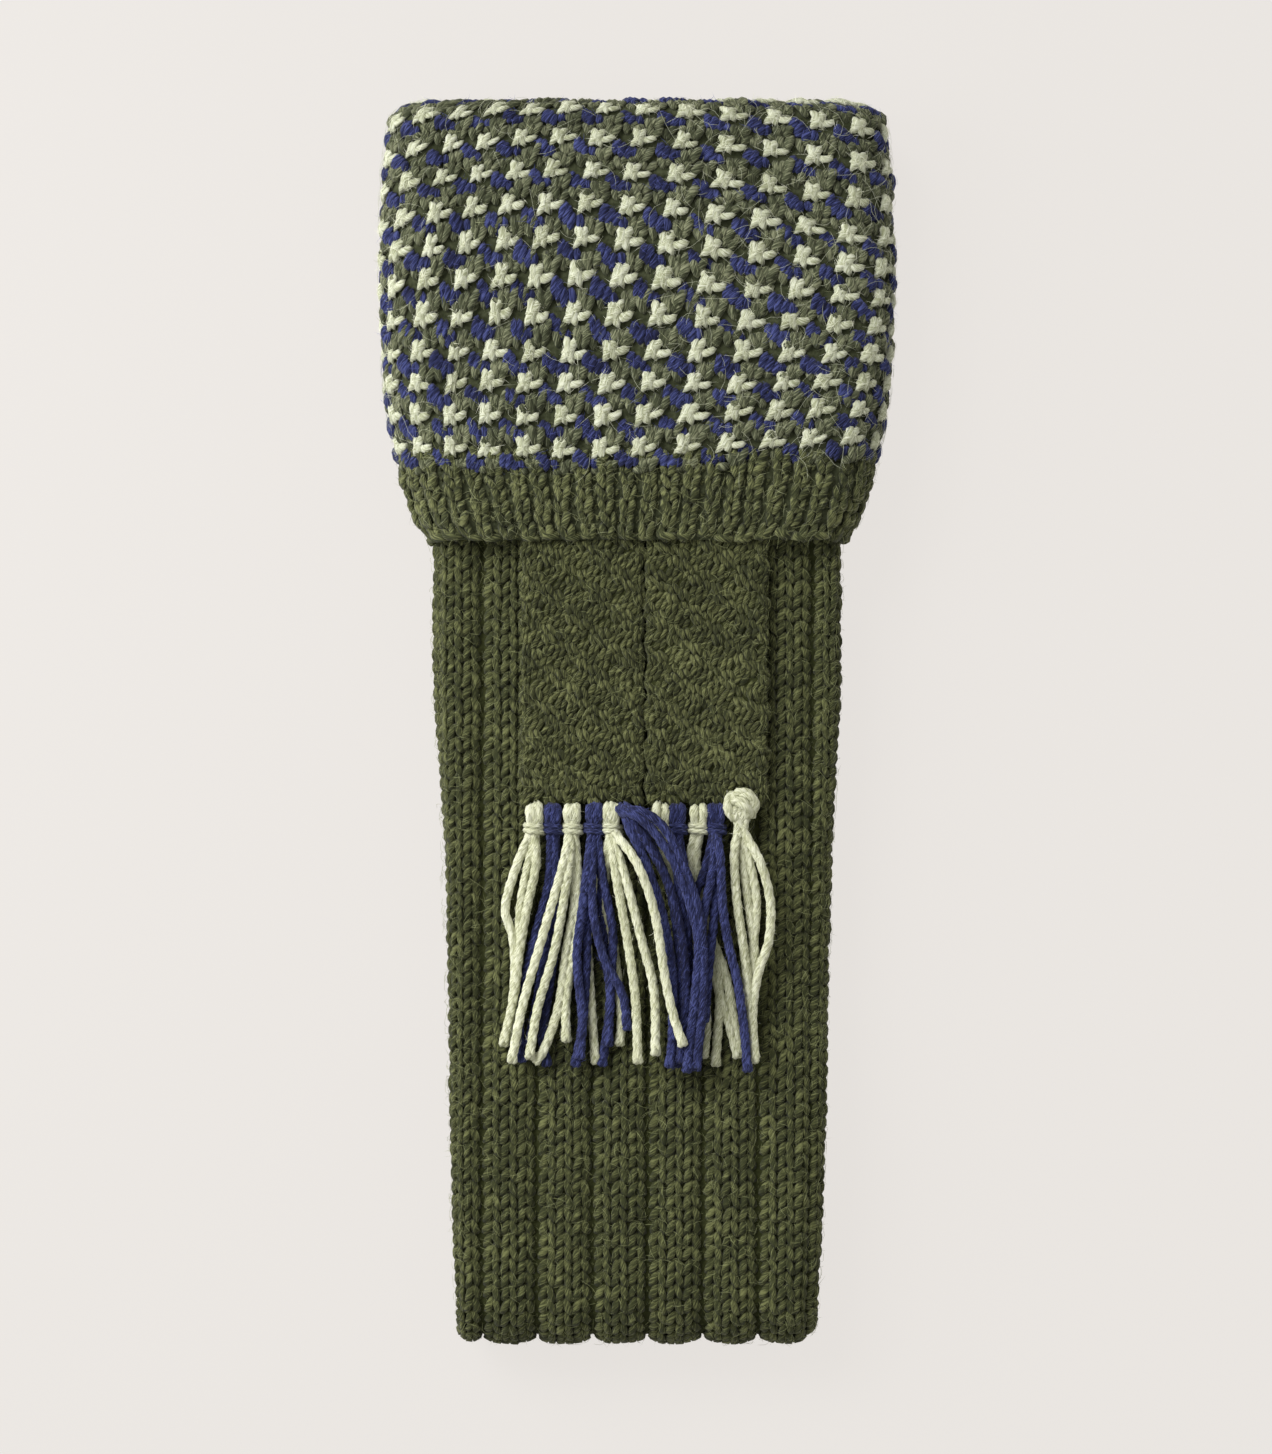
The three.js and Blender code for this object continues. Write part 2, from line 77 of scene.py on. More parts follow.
view = {"lens": 100, "sensor": 36, "frameHeight": 363.5, "centre": (-0.25, -0.6), "planeZ": 20}


def makeCamera():
    data = bpy.data.cameras.new("aboveCamera")
    data.lens = view["lens"]
    data.sensor_fit = "VERTICAL"
    data.sensor_height = view["sensor"]
    camera = showObject(bpy.data.objects.new("aboveCamera", data))
    rise = view["planeZ"] + view["frameHeight"] * view["lens"] / view["sensor"]
    camera.location = (view["centre"][0] * mm, view["centre"][1] * mm, rise * mm)
    bpy.context.scene.camera = camera


light = {"keyStrength": 1.8, "keyTurn": (-36, -34, 0), "keySoftness": 26,
         "sidePlace": (-0.40, 0.12, 0.27), "sidePower": 1.8, "sideSize": 0.3,
         "fillStrength": 0.54, "skyColour": (1.0, 0.985, 0.97), "floorColour": (0.80, 0.768, 0.735),
         "floorGlow": 0.95}  # the floor is a light table, so the sock hardly casts a shadow on it


def makeLight():
    sun = bpy.data.lights.new("softKey", "SUN")
    sun.energy = light["keyStrength"]
    sun.angle = math.radians(light["keySoftness"])
    lamp = showObject(bpy.data.objects.new("softKey", sun))
    lamp.rotation_euler = [math.radians(a) for a in light["keyTurn"]]
    panel = bpy.data.lights.new("sidePanel", "AREA")
    panel.energy = light["sidePower"]
    panel.size = light["sideSize"]
    side = showObject(bpy.data.objects.new("sidePanel", panel))
    side.location = light["sidePlace"]
    side.rotation_euler = Vector(light["sidePlace"]).to_track_quat("Z", "Y").to_euler()
    world = bpy.data.worlds.new("studio")
    world.use_nodes = True
    sky = world.node_tree.nodes["Background"]
    sky.inputs["Color"].default_value = (*light["skyColour"], 1)
    sky.inputs["Strength"].default_value = light["fillStrength"]
    bpy.context.scene.world = world
    bpy.context.scene.view_settings.view_transform = "Standard"


def makeFloor():
    size, under = 3.0, -0.0002
    mesh = bpy.data.meshes.new("floor")
    corners = [(-size, -size), (size, -size), (size, size), (-size, size)]
    mesh.from_pydata([(x, y, under) for x, y in corners], [], [(0, 1, 2, 3)])
    floor = showObject(bpy.data.objects.new("floor", mesh))
    paper, _, shader = newMaterial("palePaper")
    glow = light["floorGlow"]
    shader.inputs["Base Color"].default_value = (*[c * (1 - glow) for c in light["floorColour"]], 1)
    shader.inputs["Emission Color"].default_value = (*light["floorColour"], 1)
    shader.inputs["Emission Strength"].default_value = glow
    shader.inputs["Roughness"].default_value = 0.9
    mesh.materials.append(paper)


# yarn materials

yarns = {
    "olive": {"dark": (0.023, 0.027, 0.008), "mid": (0.040, 0.044, 0.014), "light": (0.136, 0.145, 0.055)},
    # the cuff's olive: the leg's yarn painted lighter, as painted light for the stronger light on the upper
    # sock
    "tweed": {"dark": (0.030, 0.035, 0.016), "mid": (0.072, 0.080, 0.042), "light": (0.215, 0.225, 0.135)},
    # the welt's olive: the leg's yarn painted lighter, as painted light on the upper sock
    "welt": {"dark": (0.022, 0.026, 0.009), "mid": (0.054, 0.060, 0.022), "light": (0.175, 0.185, 0.076)},
    "garter": {"dark": (0.019, 0.022, 0.007), "mid": (0.042, 0.046, 0.014), "light": (0.142, 0.150, 0.058)},
    "cream": {"dark": (0.27, 0.285, 0.17), "mid": (0.46, 0.48, 0.33), "light": (0.62, 0.64, 0.51),
              "patch": 0.2},
    "fringeCream": {"dark": (0.33, 0.34, 0.20), "mid": (0.56, 0.57, 0.39), "light": (0.70, 0.71, 0.55),
                    "patch": 0.2},
    "navy": {"dark": (0.006, 0.007, 0.028), "mid": (0.015, 0.0195, 0.073), "light": (0.060, 0.073, 0.21),
             "patch": 0.2},
}
woolSlots = {"cream": "cream_wool", "navy": "navy_wool", "olive": "green_wool", "tweed": "green_wool"}
fibre = {"cellsAround": 17.0, "cellsAlong": 0.55, "turns": 0.15, "plies": 2, "plyBump": 0.35,
         "fibreBump": 1.2, "toneSpread": 37.0, "toneShare": 0.08, "patchScale": 150,
         "patch": 0.22}


def newMaterial(name):
    material = bpy.data.materials.new(name)
    material.use_nodes = True
    return material, material.node_tree, material.node_tree.nodes["Principled BSDF"]


def feed(tree, target, source):
    if isinstance(source, bpy.types.NodeSocket):
        tree.links.new(source, target)
    else:
        target.default_value = source


# A node whose inputs, given by place or name, are fed from plain values or other nodes' outputs
def addNode(tree, kind, inputs=(), **settings):
    node = tree.nodes.new(kind)
    for key, value in settings.items():
        setattr(node, key, value)
    for place, source in dict(inputs).items():
        feed(tree, node.inputs[place], source)
    return node


def mathNode(tree, operation, a, b=0.0):
    return addNode(tree, "ShaderNodeMath", {0: a, 1: b}, operation=operation).outputs[0]


def scaleNode(tree, vector, amount):
    return addNode(tree, "ShaderNodeVectorMath", {0: vector, "Scale": amount}, operation="SCALE").outputs[0]


def noiseNode(tree, vector, scale, detail, **settings):
    inputs = {"Vector": vector, "Scale": scale, "Detail": detail, **settings}
    return addNode(tree, "ShaderNodeTexNoise", inputs)


# How far a value is from its middle, times a share
def offMiddle(tree, value, share):
    return mathNode(tree, "MULTIPLY", mathNode(tree, "SUBTRACT", value, 0.5), share)


def colourRamp(tree, place, *stops):
    ramp = addNode(tree, "ShaderNodeValToRGB", {"Fac": place})
    elements = ramp.color_ramp.elements
    elements[0].position = stops[0][0]
    elements[1].position = stops[-1][0]
    for position, _ in stops[1:-1]:
        elements.new(position)
    for element, (_, colour) in zip(elements, stops):
        element.color = (*colour, 1)
    return ramp.outputs["Color"]


def bumpNode(tree, height, strength, distance):
    inputs = {"Height": height, "Strength": strength, "Distance": distance}
    return addNode(tree, "ShaderNodeBump", inputs).outputs[0]


# Wool yarn: fibre streaks that wind round the strand, a tone for each stitch and slow patches over the cloth
def yarnMaterial(name, colours):
    material, tree, shader = newMaterial(name)
    strand = addNode(tree, "ShaderNodeUVMap", uv_map="strand")
    around, along, _ = addNode(tree, "ShaderNodeSeparateXYZ", {0: strand.outputs[0]}).outputs
    tone = addNode(tree, "ShaderNodeAttribute", attribute_name="tone").outputs["Fac"]
    wound = mathNode(tree, "ADD", around, mathNode(tree, "MULTIPLY", along, fibre["turns"]))
    place = addNode(tree, "ShaderNodeCombineXYZ", {
        0: mathNode(tree, "MULTIPLY", wound, fibre["cellsAround"]),
        1: mathNode(tree, "MULTIPLY", along, fibre["cellsAlong"]),
        2: mathNode(tree, "MULTIPLY", tone, fibre["toneSpread"])})
    streak = noiseNode(tree, place.outputs[0], 1.0, 2, Roughness=0.6).outputs["Fac"]
    where = addNode(tree, "ShaderNodeTexCoord").outputs["Object"]
    slow = noiseNode(tree, where, fibre["patchScale"], 3)
    mixed = mathNode(tree, "ADD", streak, offMiddle(tree, tone, fibre["toneShare"]))
    patch = colours.get("patch", fibre["patch"])
    mixed = mathNode(tree, "ADD", mixed, offMiddle(tree, slow.outputs["Fac"], patch))
    stops = (0.37, colours["dark"]), (0.50, colours["mid"]), (0.64, colours["light"])
    colour = colourRamp(tree, mixed, *stops)
    tree.links.new(colour, shader.inputs["Base Color"])
    ply = mathNode(tree, "SINE", mathNode(tree, "MULTIPLY", wound, 2 * math.pi * fibre["plies"]))
    height = mathNode(tree, "ADD", mathNode(tree, "MULTIPLY", ply, fibre["plyBump"]),
                      mathNode(tree, "MULTIPLY", streak, fibre["fibreBump"]))
    tree.links.new(bumpNode(tree, height, 0.8, 0.0003), shader.inputs["Normal"])
    shader.inputs["Roughness"].default_value = 0.92
    shader.inputs["Specular IOR Level"].default_value = 0.18
    shader.inputs["Sheen Weight"].default_value = 0.06
    shader.inputs["Sheen Roughness"].default_value = 0.6
    return material


# Plain cloth under the stitches and inside the tube: small bumps in rows, read from object coordinates. Its
# colour runs only from the yarn's dark to middle tone: painted shade where it shows between the stitches and
# in the rib valleys
def clothMaterial(name, colours):
    material, tree, shader = newMaterial(name)
    where = addNode(tree, "ShaderNodeTexCoord").outputs["Object"]
    inStitches = addNode(tree, "ShaderNodeMapping", {
        "Vector": scaleNode(tree, where, 1 / mm), "Scale": (1 / 4.2, 1 / 3.25, 1 / 4.2)})
    cells = addNode(tree, "ShaderNodeTexVoronoi", {
        "Vector": inStitches.outputs[0], "Scale": 1.6, "Randomness": 0.55})
    fluff = noiseNode(tree, where, 900, 4)
    mixed = mathNode(tree, "SUBTRACT", mathNode(tree, "ADD", fluff.outputs["Fac"], 0.12),
                     mathNode(tree, "MULTIPLY", cells.outputs["Distance"], 0.35))
    # painted shade: the cloth stays between the yarn's dark and middle tone, darker than the yarn on top
    colour = colourRamp(tree, mixed, (0.25, colours["dark"]), (0.75, colours["mid"]))
    tree.links.new(colour, shader.inputs["Base Color"])
    tree.links.new(bumpNode(tree, mixed, 0.9, 0.0006), shader.inputs["Normal"])
    shader.inputs["Roughness"].default_value = 0.95
    shader.inputs["Specular IOR Level"].default_value = 0.15
    return material


# flattened tubes, as the cloth lies

def readTable(rows, place):
    places, values = zip(*rows)
    return float(np.interp(place, places, values))


def halfGirth(width, height):
    return width - height + math.pi * height / 2


# The point and outward direction at a signed distance round a flattened tube, from the middle of its top
def outlinePoint(distance, width, height):
    radius = height / 2
    flat = width / 2 - radius
    half = halfGirth(width, height)
    wrapped = (distance + half) % (2 * half) - half
    side = -1 if wrapped < 0 else 1
    along = abs(wrapped)
    if along <= flat:
        return wrapped, radius, 0.0, 1.0
    if along >= half - flat:
        return side * (half - along), -radius, 0.0, -1.0
    angle = (along - flat) / radius
    sine, cosine = math.sin(angle), math.cos(angle)
    return side * (flat + radius * sine), radius * cosine, side * sine, cosine


# A section stands upright at y, or is turned about a line across the sock at y and pivotZ
def sectionPoint(section, distance, depth):
    height = section["high"] - section["low"]
    across, up, outAcross, outUp = outlinePoint(distance, section["width"], height)
    away = (section["low"] + section["high"]) / 2 + up - outUp * depth
    turn = section.get("turn", 0)
    return (
        (section.get("shift", 0) + across - outAcross * depth) * mm,
        (section["y"] - away * math.sin(turn)) * mm,
        (section.get("pivotZ", 0) + away * math.cos(turn)) * mm,
    )


# the leg, the ankle fold and the foot as one length of ribbed tube, measured down from the cuff's hem

leg = {
    "widthTop": 103.8, "widthAnkle": 91, "height": 12, "wall": 3, "ribPitch": 13.8, "ribOffset": 2.6,
    "ribDepth": 2.6, "liftOver": 68.6, "heelTip": 48.6, "belowCuff": 201.3, "insideCuff": 100,
}
foot = {"wall": 2.7, "gap": 1.6, "width": 86, "toeWidth": 34, "toeLength": 46, "toeSetback": 6,
        "heelHeight": 5.4, "clearance": 0.3}
footHeight = 2 * foot["wall"] + foot["gap"]
foldZ = footHeight + foot["clearance"] + foot["heelHeight"] / 2
foldInner = foot["heelHeight"] / 2 + foot["clearance"]
foldOuterLeg = foldInner + leg["height"]
foldOuterFoot = foldInner + footHeight
foldReach = (foldOuterLeg + foldOuterFoot) / 2
foldY = endY + foldReach
heelTipY = foldY + leg["heelTip"]
toeY = hemY - foot["toeSetback"]
straightLength = hemY - foldY
foldLength = math.pi * foldReach
footLength = toeY - foldY

# Share of the way down the leg, and share of its taper left
legTaper = [(0.00, 1.00), (0.18, 1.00), (0.28, 0.80), (0.38, 0.62), (0.50, 0.50), (0.68, 0.35), (0.88, 0.16),
            (0.94, 0.00)]
# Share of the way from the heel's tip, and share of the lift over the heel left
legLift = [(0.00, 1.00), (0.175, 0.60), (0.35, 0.14), (0.49, 0.00)]
# Share of the toe's length, and share narrowed
toeOutline = [(0.00, 0.00), (0.35, 0.12), (0.65, 0.36), (0.87, 0.70), (1.00, 1.00)]


def tubeSection(down):
    if down <= straightLength:
        y = hemY - down
        taper = readTable(legTaper, max(0, down) / leg["belowCuff"])
        width = leg["widthAnkle"] + taper * (leg["widthTop"] - leg["widthAnkle"])
        lift = readTable(legLift, (y - heelTipY) / leg["liftOver"])
        low = legLow + lift * (foldZ + foldInner - legLow)
        return {"width": width, "low": low, "high": low + leg["height"], "y": y}
    share = min(1, (down - straightLength) / foldLength)
    if share < 1:
        high = foldOuterLeg + share * (foldOuterFoot - foldOuterLeg)
        return {"width": leg["widthAnkle"], "low": foldInner, "high": high, "y": foldY,
                "pivotZ": foldZ, "turn": math.pi * share}
    along = down - straightLength - foldLength
    ankleEase = min(1, along / (0.2 * (footLength - foot["toeLength"])))
    width = leg["widthAnkle"] + ankleEase * (foot["width"] - leg["widthAnkle"])
    toe = (along - footLength + foot["toeLength"]) / foot["toeLength"]
    width -= readTable(toeOutline, toe) * (foot["width"] - foot["toeWidth"])
    return {"width": width, "low": foldInner, "high": foldOuterFoot, "y": foldY + along,
            "pivotZ": foldZ, "turn": math.pi}


# Across one rib, for each place in columns: its share of the rib's width and of the valley's depth
ribProfile = [(0.0, 0.0, 1.0), (0.3, 0.03, 0.93), (0.5, 0.06, 0.66), (0.7, 0.11, 0.40), (1.0, 0.205, 0.18),
              (1.5, 0.35, 0.04), (2.0, 0.5, 0.0), (2.5, 0.65, 0.04), (3.0, 0.795, 0.18), (3.3, 0.89, 0.40),
              (3.5, 0.94, 0.66), (3.7, 0.97, 0.93)]


def outwards(mesh):
    corners = np.array([v.co for v in mesh.vertices])
    volume = 0
    for face in mesh.polygons:
        first = corners[face.vertices[0]]
        for a, b in zip(face.vertices[1:], face.vertices[2:]):
            volume += np.dot(first, np.cross(corners[a], corners[b]))
    if volume < 0:
        mesh.flip_normals()
    return mesh


def skinMesh(name, rings, closeEnds=False, loop=False):
    size = len(rings[0])
    points = [p for ring in rings for p in ring]
    faces = []
    joins = len(rings) if loop else len(rings) - 1
    for r in range(joins):
        here, there = r * size, (r + 1) % len(rings) * size
        for i in range(size):
            j = (i + 1) % size
            faces.append((here + i, here + j, there + j, there + i))
    if closeEnds:
        faces.append(tuple(range(size))[::-1])
        faces.append(tuple(range(len(points) - size, len(points))))
    mesh = bpy.data.meshes.new(name)
    mesh.from_pydata(points, [], faces)
    return outwards(mesh)


def addPiece(name, mesh, material, slot, *nodes):
    piece = showObject(bpy.data.objects.new(name, mesh))
    mesh.materials.clear()
    mesh.materials.append(material)
    mesh.polygons.foreach_set("use_smooth", [True] * len(mesh.polygons))
    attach(piece, "root")
    if nodes:
        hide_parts(*nodes)
    return piece


def evened(places):
    return [(place - places[0]) / (places[-1] - places[0]) for place in places]


# A cage is a strip of surface that stitches are laid on. Its stitchMap runs from 0 to 1 over the strip.
def cageObject(name, grid, acrosses, alongs):
    rows, columns = len(grid), len(grid[0])
    mesh = bpy.data.meshes.new(name)
    faces = [(r * columns + c, r * columns + c + 1, (r + 1) * columns + c + 1, (r + 1) * columns + c)
             for r in range(rows - 1) for c in range(columns - 1)]
    mesh.from_pydata([p for row in grid for p in row], [], faces)
    mesh.update()
    out = mesh.attributes.new("out", "FLOAT_VECTOR", "POINT")
    out.data.foreach_set("vector", [n for v in mesh.vertices for n in v.normal])
    stitchMap = mesh.uv_layers.new(name="stitchMap")
    across, along = evened(acrosses), evened(alongs)
    for loop in mesh.loops:
        row, column = divmod(loop.vertex_index, columns)
        stitchMap.data[loop.index].uv = (across[column], along[row])
    return bpy.data.objects.new(name, mesh)


# A closed strand of yarn through a few points, tapering to both ends. Points and widths are millimetres.
def strandParts(points, widths, heights, rings, sides):
    places = np.linspace(0, 1, len(points))
    spots = np.linspace(0, 1, rings + 2)
    path = np.array([[np.interp(t, places, [p[k] for p in points]) for k in range(3)] for t in spots])
    smooth = path.copy()
    smooth[1:-1] = 0.25 * path[:-2] + 0.5 * path[1:-1] + 0.25 * path[2:]
    lengths = np.concatenate([[0], np.cumsum(np.linalg.norm(np.diff(smooth, axis=0), axis=1))])
    verts, uvs = [tuple(smooth[0])], [(0.5, 0.0)]
    for r in range(1, rings + 1):
        along = smooth[r + 1] - smooth[r - 1]
        along /= np.linalg.norm(along)
        side = np.cross((0, 0, 1), along)
        side /= max(np.linalg.norm(side), 1e-6)
        up = np.cross(along, side)
        wide = np.interp(spots[r], np.linspace(0, 1, len(widths)), widths) / 2
        tall = np.interp(spots[r], np.linspace(0, 1, len(heights)), heights) / 2
        for s in range(sides):
            angle = -math.pi / 2 - 2 * math.pi * s / sides
            verts.append(tuple(smooth[r] + side * wide * math.cos(angle) + up * tall * math.sin(angle)))
            uvs.append((s / sides, lengths[r]))
    verts.append(tuple(smooth[-1]))
    uvs.append((0.5, lengths[-1]))
    faces = []
    for s in range(sides):
        t = (s + 1) % sides
        wrap = 1.0 if t == 0 else t / sides
        faces.append(((0, 1 + s, 1 + t), ((s + 0.5) / sides, s / sides, wrap)))
        for r in range(rings - 1):
            a, b = 1 + r * sides, 1 + (r + 1) * sides
            faces.append(((a + s, b + s, b + t, a + t), (s / sides, s / sides, wrap, wrap)))
        last = 1 + (rings - 1) * sides
        faces.append(((last + s, len(verts) - 1, last + t), (s / sides, (s + 0.5) / sides, wrap)))
    return verts, uvs, faces


# A few strands in one mesh, with their windings in the strand map
def strandMesh(name, strands, rings, sides, scale=1):
    verts, faces, windings = [], [], []
    for strand in strands:
        steps = rings or len(strand["path"]) - 2
        points, uvs, parts = strandParts(strand["path"], strand["wide"], strand["tall"], steps, sides)
        base = len(verts)
        verts += [tuple(c * scale for c in p) for p in points]
        for corners, arounds in parts:
            faces.append(tuple(base + c for c in corners))
            windings += [(around, uvs[c][1] + strand.get("start", 0)) for around, c in zip(arounds, corners)]
    mesh = bpy.data.meshes.new(name)
    mesh.from_pydata(verts, [], faces)
    layer = mesh.uv_layers.new(name="strand")
    layer.data.foreach_set("uv", [v for pair in windings for v in pair])
    return outwards(mesh)


def stitchObject(name, strands, rings=4, sides=6):
    return bpy.data.objects.new(name, strandMesh(name, strands, rings, sides))


# A group of geometry nodes: its inputs are given as names and kinds, and it gives back one geometry
def newGroup(name, kinds):
    tree = bpy.data.node_groups.new(name, "GeometryNodeTree")
    for label, kind in kinds.items():
        tree.interface.new_socket(label, in_out="INPUT", socket_type="NodeSocket" + kind)
    tree.interface.new_socket("Geometry", in_out="OUTPUT", socket_type="NodeSocketGeometry")
    return tree, tree.nodes.new("NodeGroupInput").outputs


def endGroup(tree, geometry, yarn):
    dye = addNode(tree, "GeometryNodeSetMaterial", {"Geometry": geometry, "Material": yarn})
    addNode(tree, "NodeGroupOutput", {0: dye.outputs[0]})
    return tree


def randomVector(tree, low, high, seed):
    return addNode(tree, "FunctionNodeRandomValue", {0: low, 1: high, "Seed": seed},
                   data_type="FLOAT_VECTOR").outputs[0]


def randomNumber(tree, low, high, seed):
    return addNode(tree, "FunctionNodeRandomValue", {2: low, 3: high, "Seed": seed},
                   data_type="FLOAT").outputs[1]


def namedValue(tree, name, kind):
    return addNode(tree, "GeometryNodeInputNamedAttribute", {"Name": name}, data_type=kind).outputs[0]


# Instances picked one by one from a collection
def layFrom(tree, collection, points, inputs):
    shelf = addNode(tree, "GeometryNodeCollectionInfo", {
        "Collection": collection, "Separate Children": True, "Reset Children": True})
    return addNode(tree, "GeometryNodeInstanceOnPoints", {
        "Points": points, "Instance": shelf.outputs[0], "Pick Instance": True, **inputs}).outputs[0]


# Lays stitches on a cage. The object's own points are the chart, in flat millimetres, and each point's
# kind picks a stitch. Everything is bent onto the cage after the instances are realized.
def knitTree():
    tree, given = newGroup("layStitches", {
        "Geometry": "Geometry", "Cage": "Object", "Stitches": "Collection", "Across": "Float",
        "Along": "Float", "Jitter": "Float", "Wobble": "Float", "Height": "Float", "Seed": "Int",
        "Yarn": "Material"})

    def scattered(low, high, offset):
        return randomVector(tree, low, high, mathNode(tree, "ADD", given["Seed"], float(offset)))

    def vectorNode(operation, a, b):
        return addNode(tree, "ShaderNodeVectorMath", {0: a, 1: b}, operation=operation).outputs[0]

    anyWay = scattered((-1, -1, -1), (1, 1, 1), 1)
    nudge = addNode(tree, "GeometryNodeSetPosition", {
        "Geometry": given["Geometry"], "Offset": scaleNode(tree, anyWay, given["Jitter"])})
    points = addNode(tree, "GeometryNodeMeshToPoints", {0: nudge.outputs[0]})
    laid = layFrom(tree, given["Stitches"], points.outputs[0], {
        "Instance Index": namedValue(tree, "kind", "INT"),
        "Rotation": scattered((-0.10, -0.12, -0.12), (0.10, 0.12, 0.12), 2),
        "Scale": scattered((0.94, 0.92, 0.88), (1.08, 1.07, 1.14), 3)})
    toned = addNode(tree, "GeometryNodeStoreNamedAttribute", {
        "Geometry": laid, "Name": "tone", "Value": randomNumber(tree, 0.0, 1.0, given["Seed"])},
        data_type="FLOAT", domain="INSTANCE")
    real = addNode(tree, "GeometryNodeRealizeInstances", {0: toned.outputs[0]})

    flat = addNode(tree, "GeometryNodeInputPosition").outputs[0]
    slow = noiseNode(tree, flat, 0.085, 1.5)
    centred = vectorNode("SUBTRACT", slow.outputs["Color"], (0.5, 0.5, 0.5))
    wobble = scaleNode(tree, vectorNode("MULTIPLY", centred, (1, 1, 0.3)), given["Wobble"])
    drift = vectorNode("ADD", flat, wobble)
    x, y, z = addNode(tree, "ShaderNodeSeparateXYZ", {0: drift}).outputs
    place = addNode(tree, "ShaderNodeCombineXYZ", {
        0: mathNode(tree, "DIVIDE", x, given["Across"]), 1: mathNode(tree, "DIVIDE", y, given["Along"])})
    cage = addNode(tree, "GeometryNodeObjectInfo", {0: given["Cage"]})
    stitchMap = namedValue(tree, "stitchMap", "FLOAT_VECTOR")

    def sampled(value):
        return addNode(tree, "GeometryNodeSampleUVSurface", {
            "Mesh": cage.outputs["Geometry"], "Value": value, "Source UV Map": stitchMap,
            "Sample UV": place.outputs[0]}, data_type="FLOAT_VECTOR").outputs[0]

    surface = sampled(addNode(tree, "GeometryNodeInputPosition").outputs[0])
    lifted = mathNode(tree, "MULTIPLY", mathNode(tree, "ADD", z, given["Height"]), mm)
    out = sampled(namedValue(tree, "out", "FLOAT_VECTOR"))
    bent = vectorNode("ADD", surface, scaleNode(tree, out, lifted))
    move = addNode(tree, "GeometryNodeSetPosition", {"Geometry": real.outputs[0], "Position": bent})
    soft = addNode(tree, "GeometryNodeSetShadeSmooth", {0: move.outputs[0]})
    return endGroup(tree, soft.outputs[0], given["Yarn"])


layStitches = knitTree()


# Grows a piece from a start mesh by a group of nodes, and leaves it as a plain mesh of its own
def growPiece(name, start, group, values):
    piece = showObject(bpy.data.objects.new(name, start))
    modifier = piece.modifiers.new("grow", "NODES")
    modifier.node_group = group
    for item in group.interface.items_tree:
        if item.in_out == "INPUT" and item.name in values:
            modifier[item.identifier] = values[item.name]
    graph = bpy.context.evaluated_depsgraph_get()
    mesh = bpy.data.meshes.new_from_object(piece.evaluated_get(graph))
    piece.modifiers.clear()
    piece.data = mesh
    bpy.data.meshes.remove(start)
    mesh.name = name
    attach(piece, "root")
    print(f"{name}: {sum(len(face.vertices) - 2 for face in mesh.polygons)} triangles")


# chart is a list of (across, along, height, kind)
def knitPiece(name, chart, stitches, cage, size, yarn, jitter=0.14, wobble=0.9, height=0.0, seed=1):
    shelf = bpy.data.collections.new(name + "Stitches")
    for stitch in stitches:
        shelf.objects.link(stitch)
    points = bpy.data.meshes.new(name)
    points.from_pydata([place[:3] for place in chart], [], [])
    kind = points.attributes.new("kind", "INT", "POINT")
    kind.data.foreach_set("value", [place[3] for place in chart])
    growPiece(name, points, layStitches, {
        "Cage": cage, "Stitches": shelf, "Across": size[0], "Along": size[1], "Jitter": jitter,
        "Wobble": wobble, "Height": height, "Seed": seed, "Yarn": yarn})


def knitStrand(side, start=0.0):
    return {"path": [(side * 0.15, -2.6, -0.65), (side * 0.52, -1.4, 0.25), (side * 1.02, 0.0, 0.55),
                     (side * 1.52, 1.3, 0.30), (side * 1.98, 2.4, -0.60)],
            "wide": (1.1, 1.9, 2.15, 2.05, 1.3), "tall": (0.8, 1.4, 1.6, 1.5, 1.0), "start": start}


def knitStitch(name, rings=4, sides=5):
    return stitchObject(name, [knitStrand(-1), knitStrand(1, 7.3)], rings, sides)


def purlStitch(name, wide=4.4, thick=1.6, rings=3, sides=5):
    half = wide / 2
    return stitchObject(name, [{
        "path": [(-half, 0.8, -0.8), (-half * 0.55, -0.2, 0.3), (0, -0.55, 0.5), (half * 0.55, -0.2, 0.3),
                 (half, 0.8, -0.8)],
        "wide": (0.8, thick, thick, thick, 0.8), "tall": (0.8, thick, thick, thick, 0.8)}], rings, sides)


knit = {"column": 4.25, "row": 3.25, "inset": 1.0, "backing": 1.45, "reach": 33, "above": 9.75,
        "purlSink": 0.15, "aroundSide": 9}
ribPlaces, ribShares, ribDips = zip(*ribProfile, (4.0, 1.0, 1.0))


# Distance round the tube of a place in columns, and the depth of the rib there
def ribPlace(place):
    rib, local = divmod(place, 4)
    distance = (rib + float(np.interp(local, ribPlaces, ribShares))) * leg["ribPitch"]
    return distance, float(np.interp(local, ribPlaces, ribDips))


# The share of the valley's depth at a distance round the tube
def ribDip(distance):
    return float(np.interp((leg["ribOffset"] - distance) / leg["ribPitch"] % 1, ribShares, ribDips))


# The cloth's columns run towards -X as seen from above, so that faces stay outwards
def tubeCage(name, low, high, step):
    ribs = math.ceil(knit["reach"] / 4) + 1
    steps = [rib * 4 + place for rib in range(-ribs, ribs) for place, _, _ in ribProfile]
    downs = list(np.arange(low, high + step, step))
    grid = []
    for down in downs:
        section = tubeSection(down)
        row = []
        for place in steps:
            distance, dip = ribPlace(place)
            depth = knit["inset"] + dip * leg["ribDepth"]
            row.append(sectionPoint(section, leg["ribOffset"] - distance, depth))
        grid.append(row)
    size = ((steps[-1] - steps[0]) * knit["column"], downs[-1] - downs[0])
    return cageObject(name, grid, steps, downs), size, steps[0], downs[0]


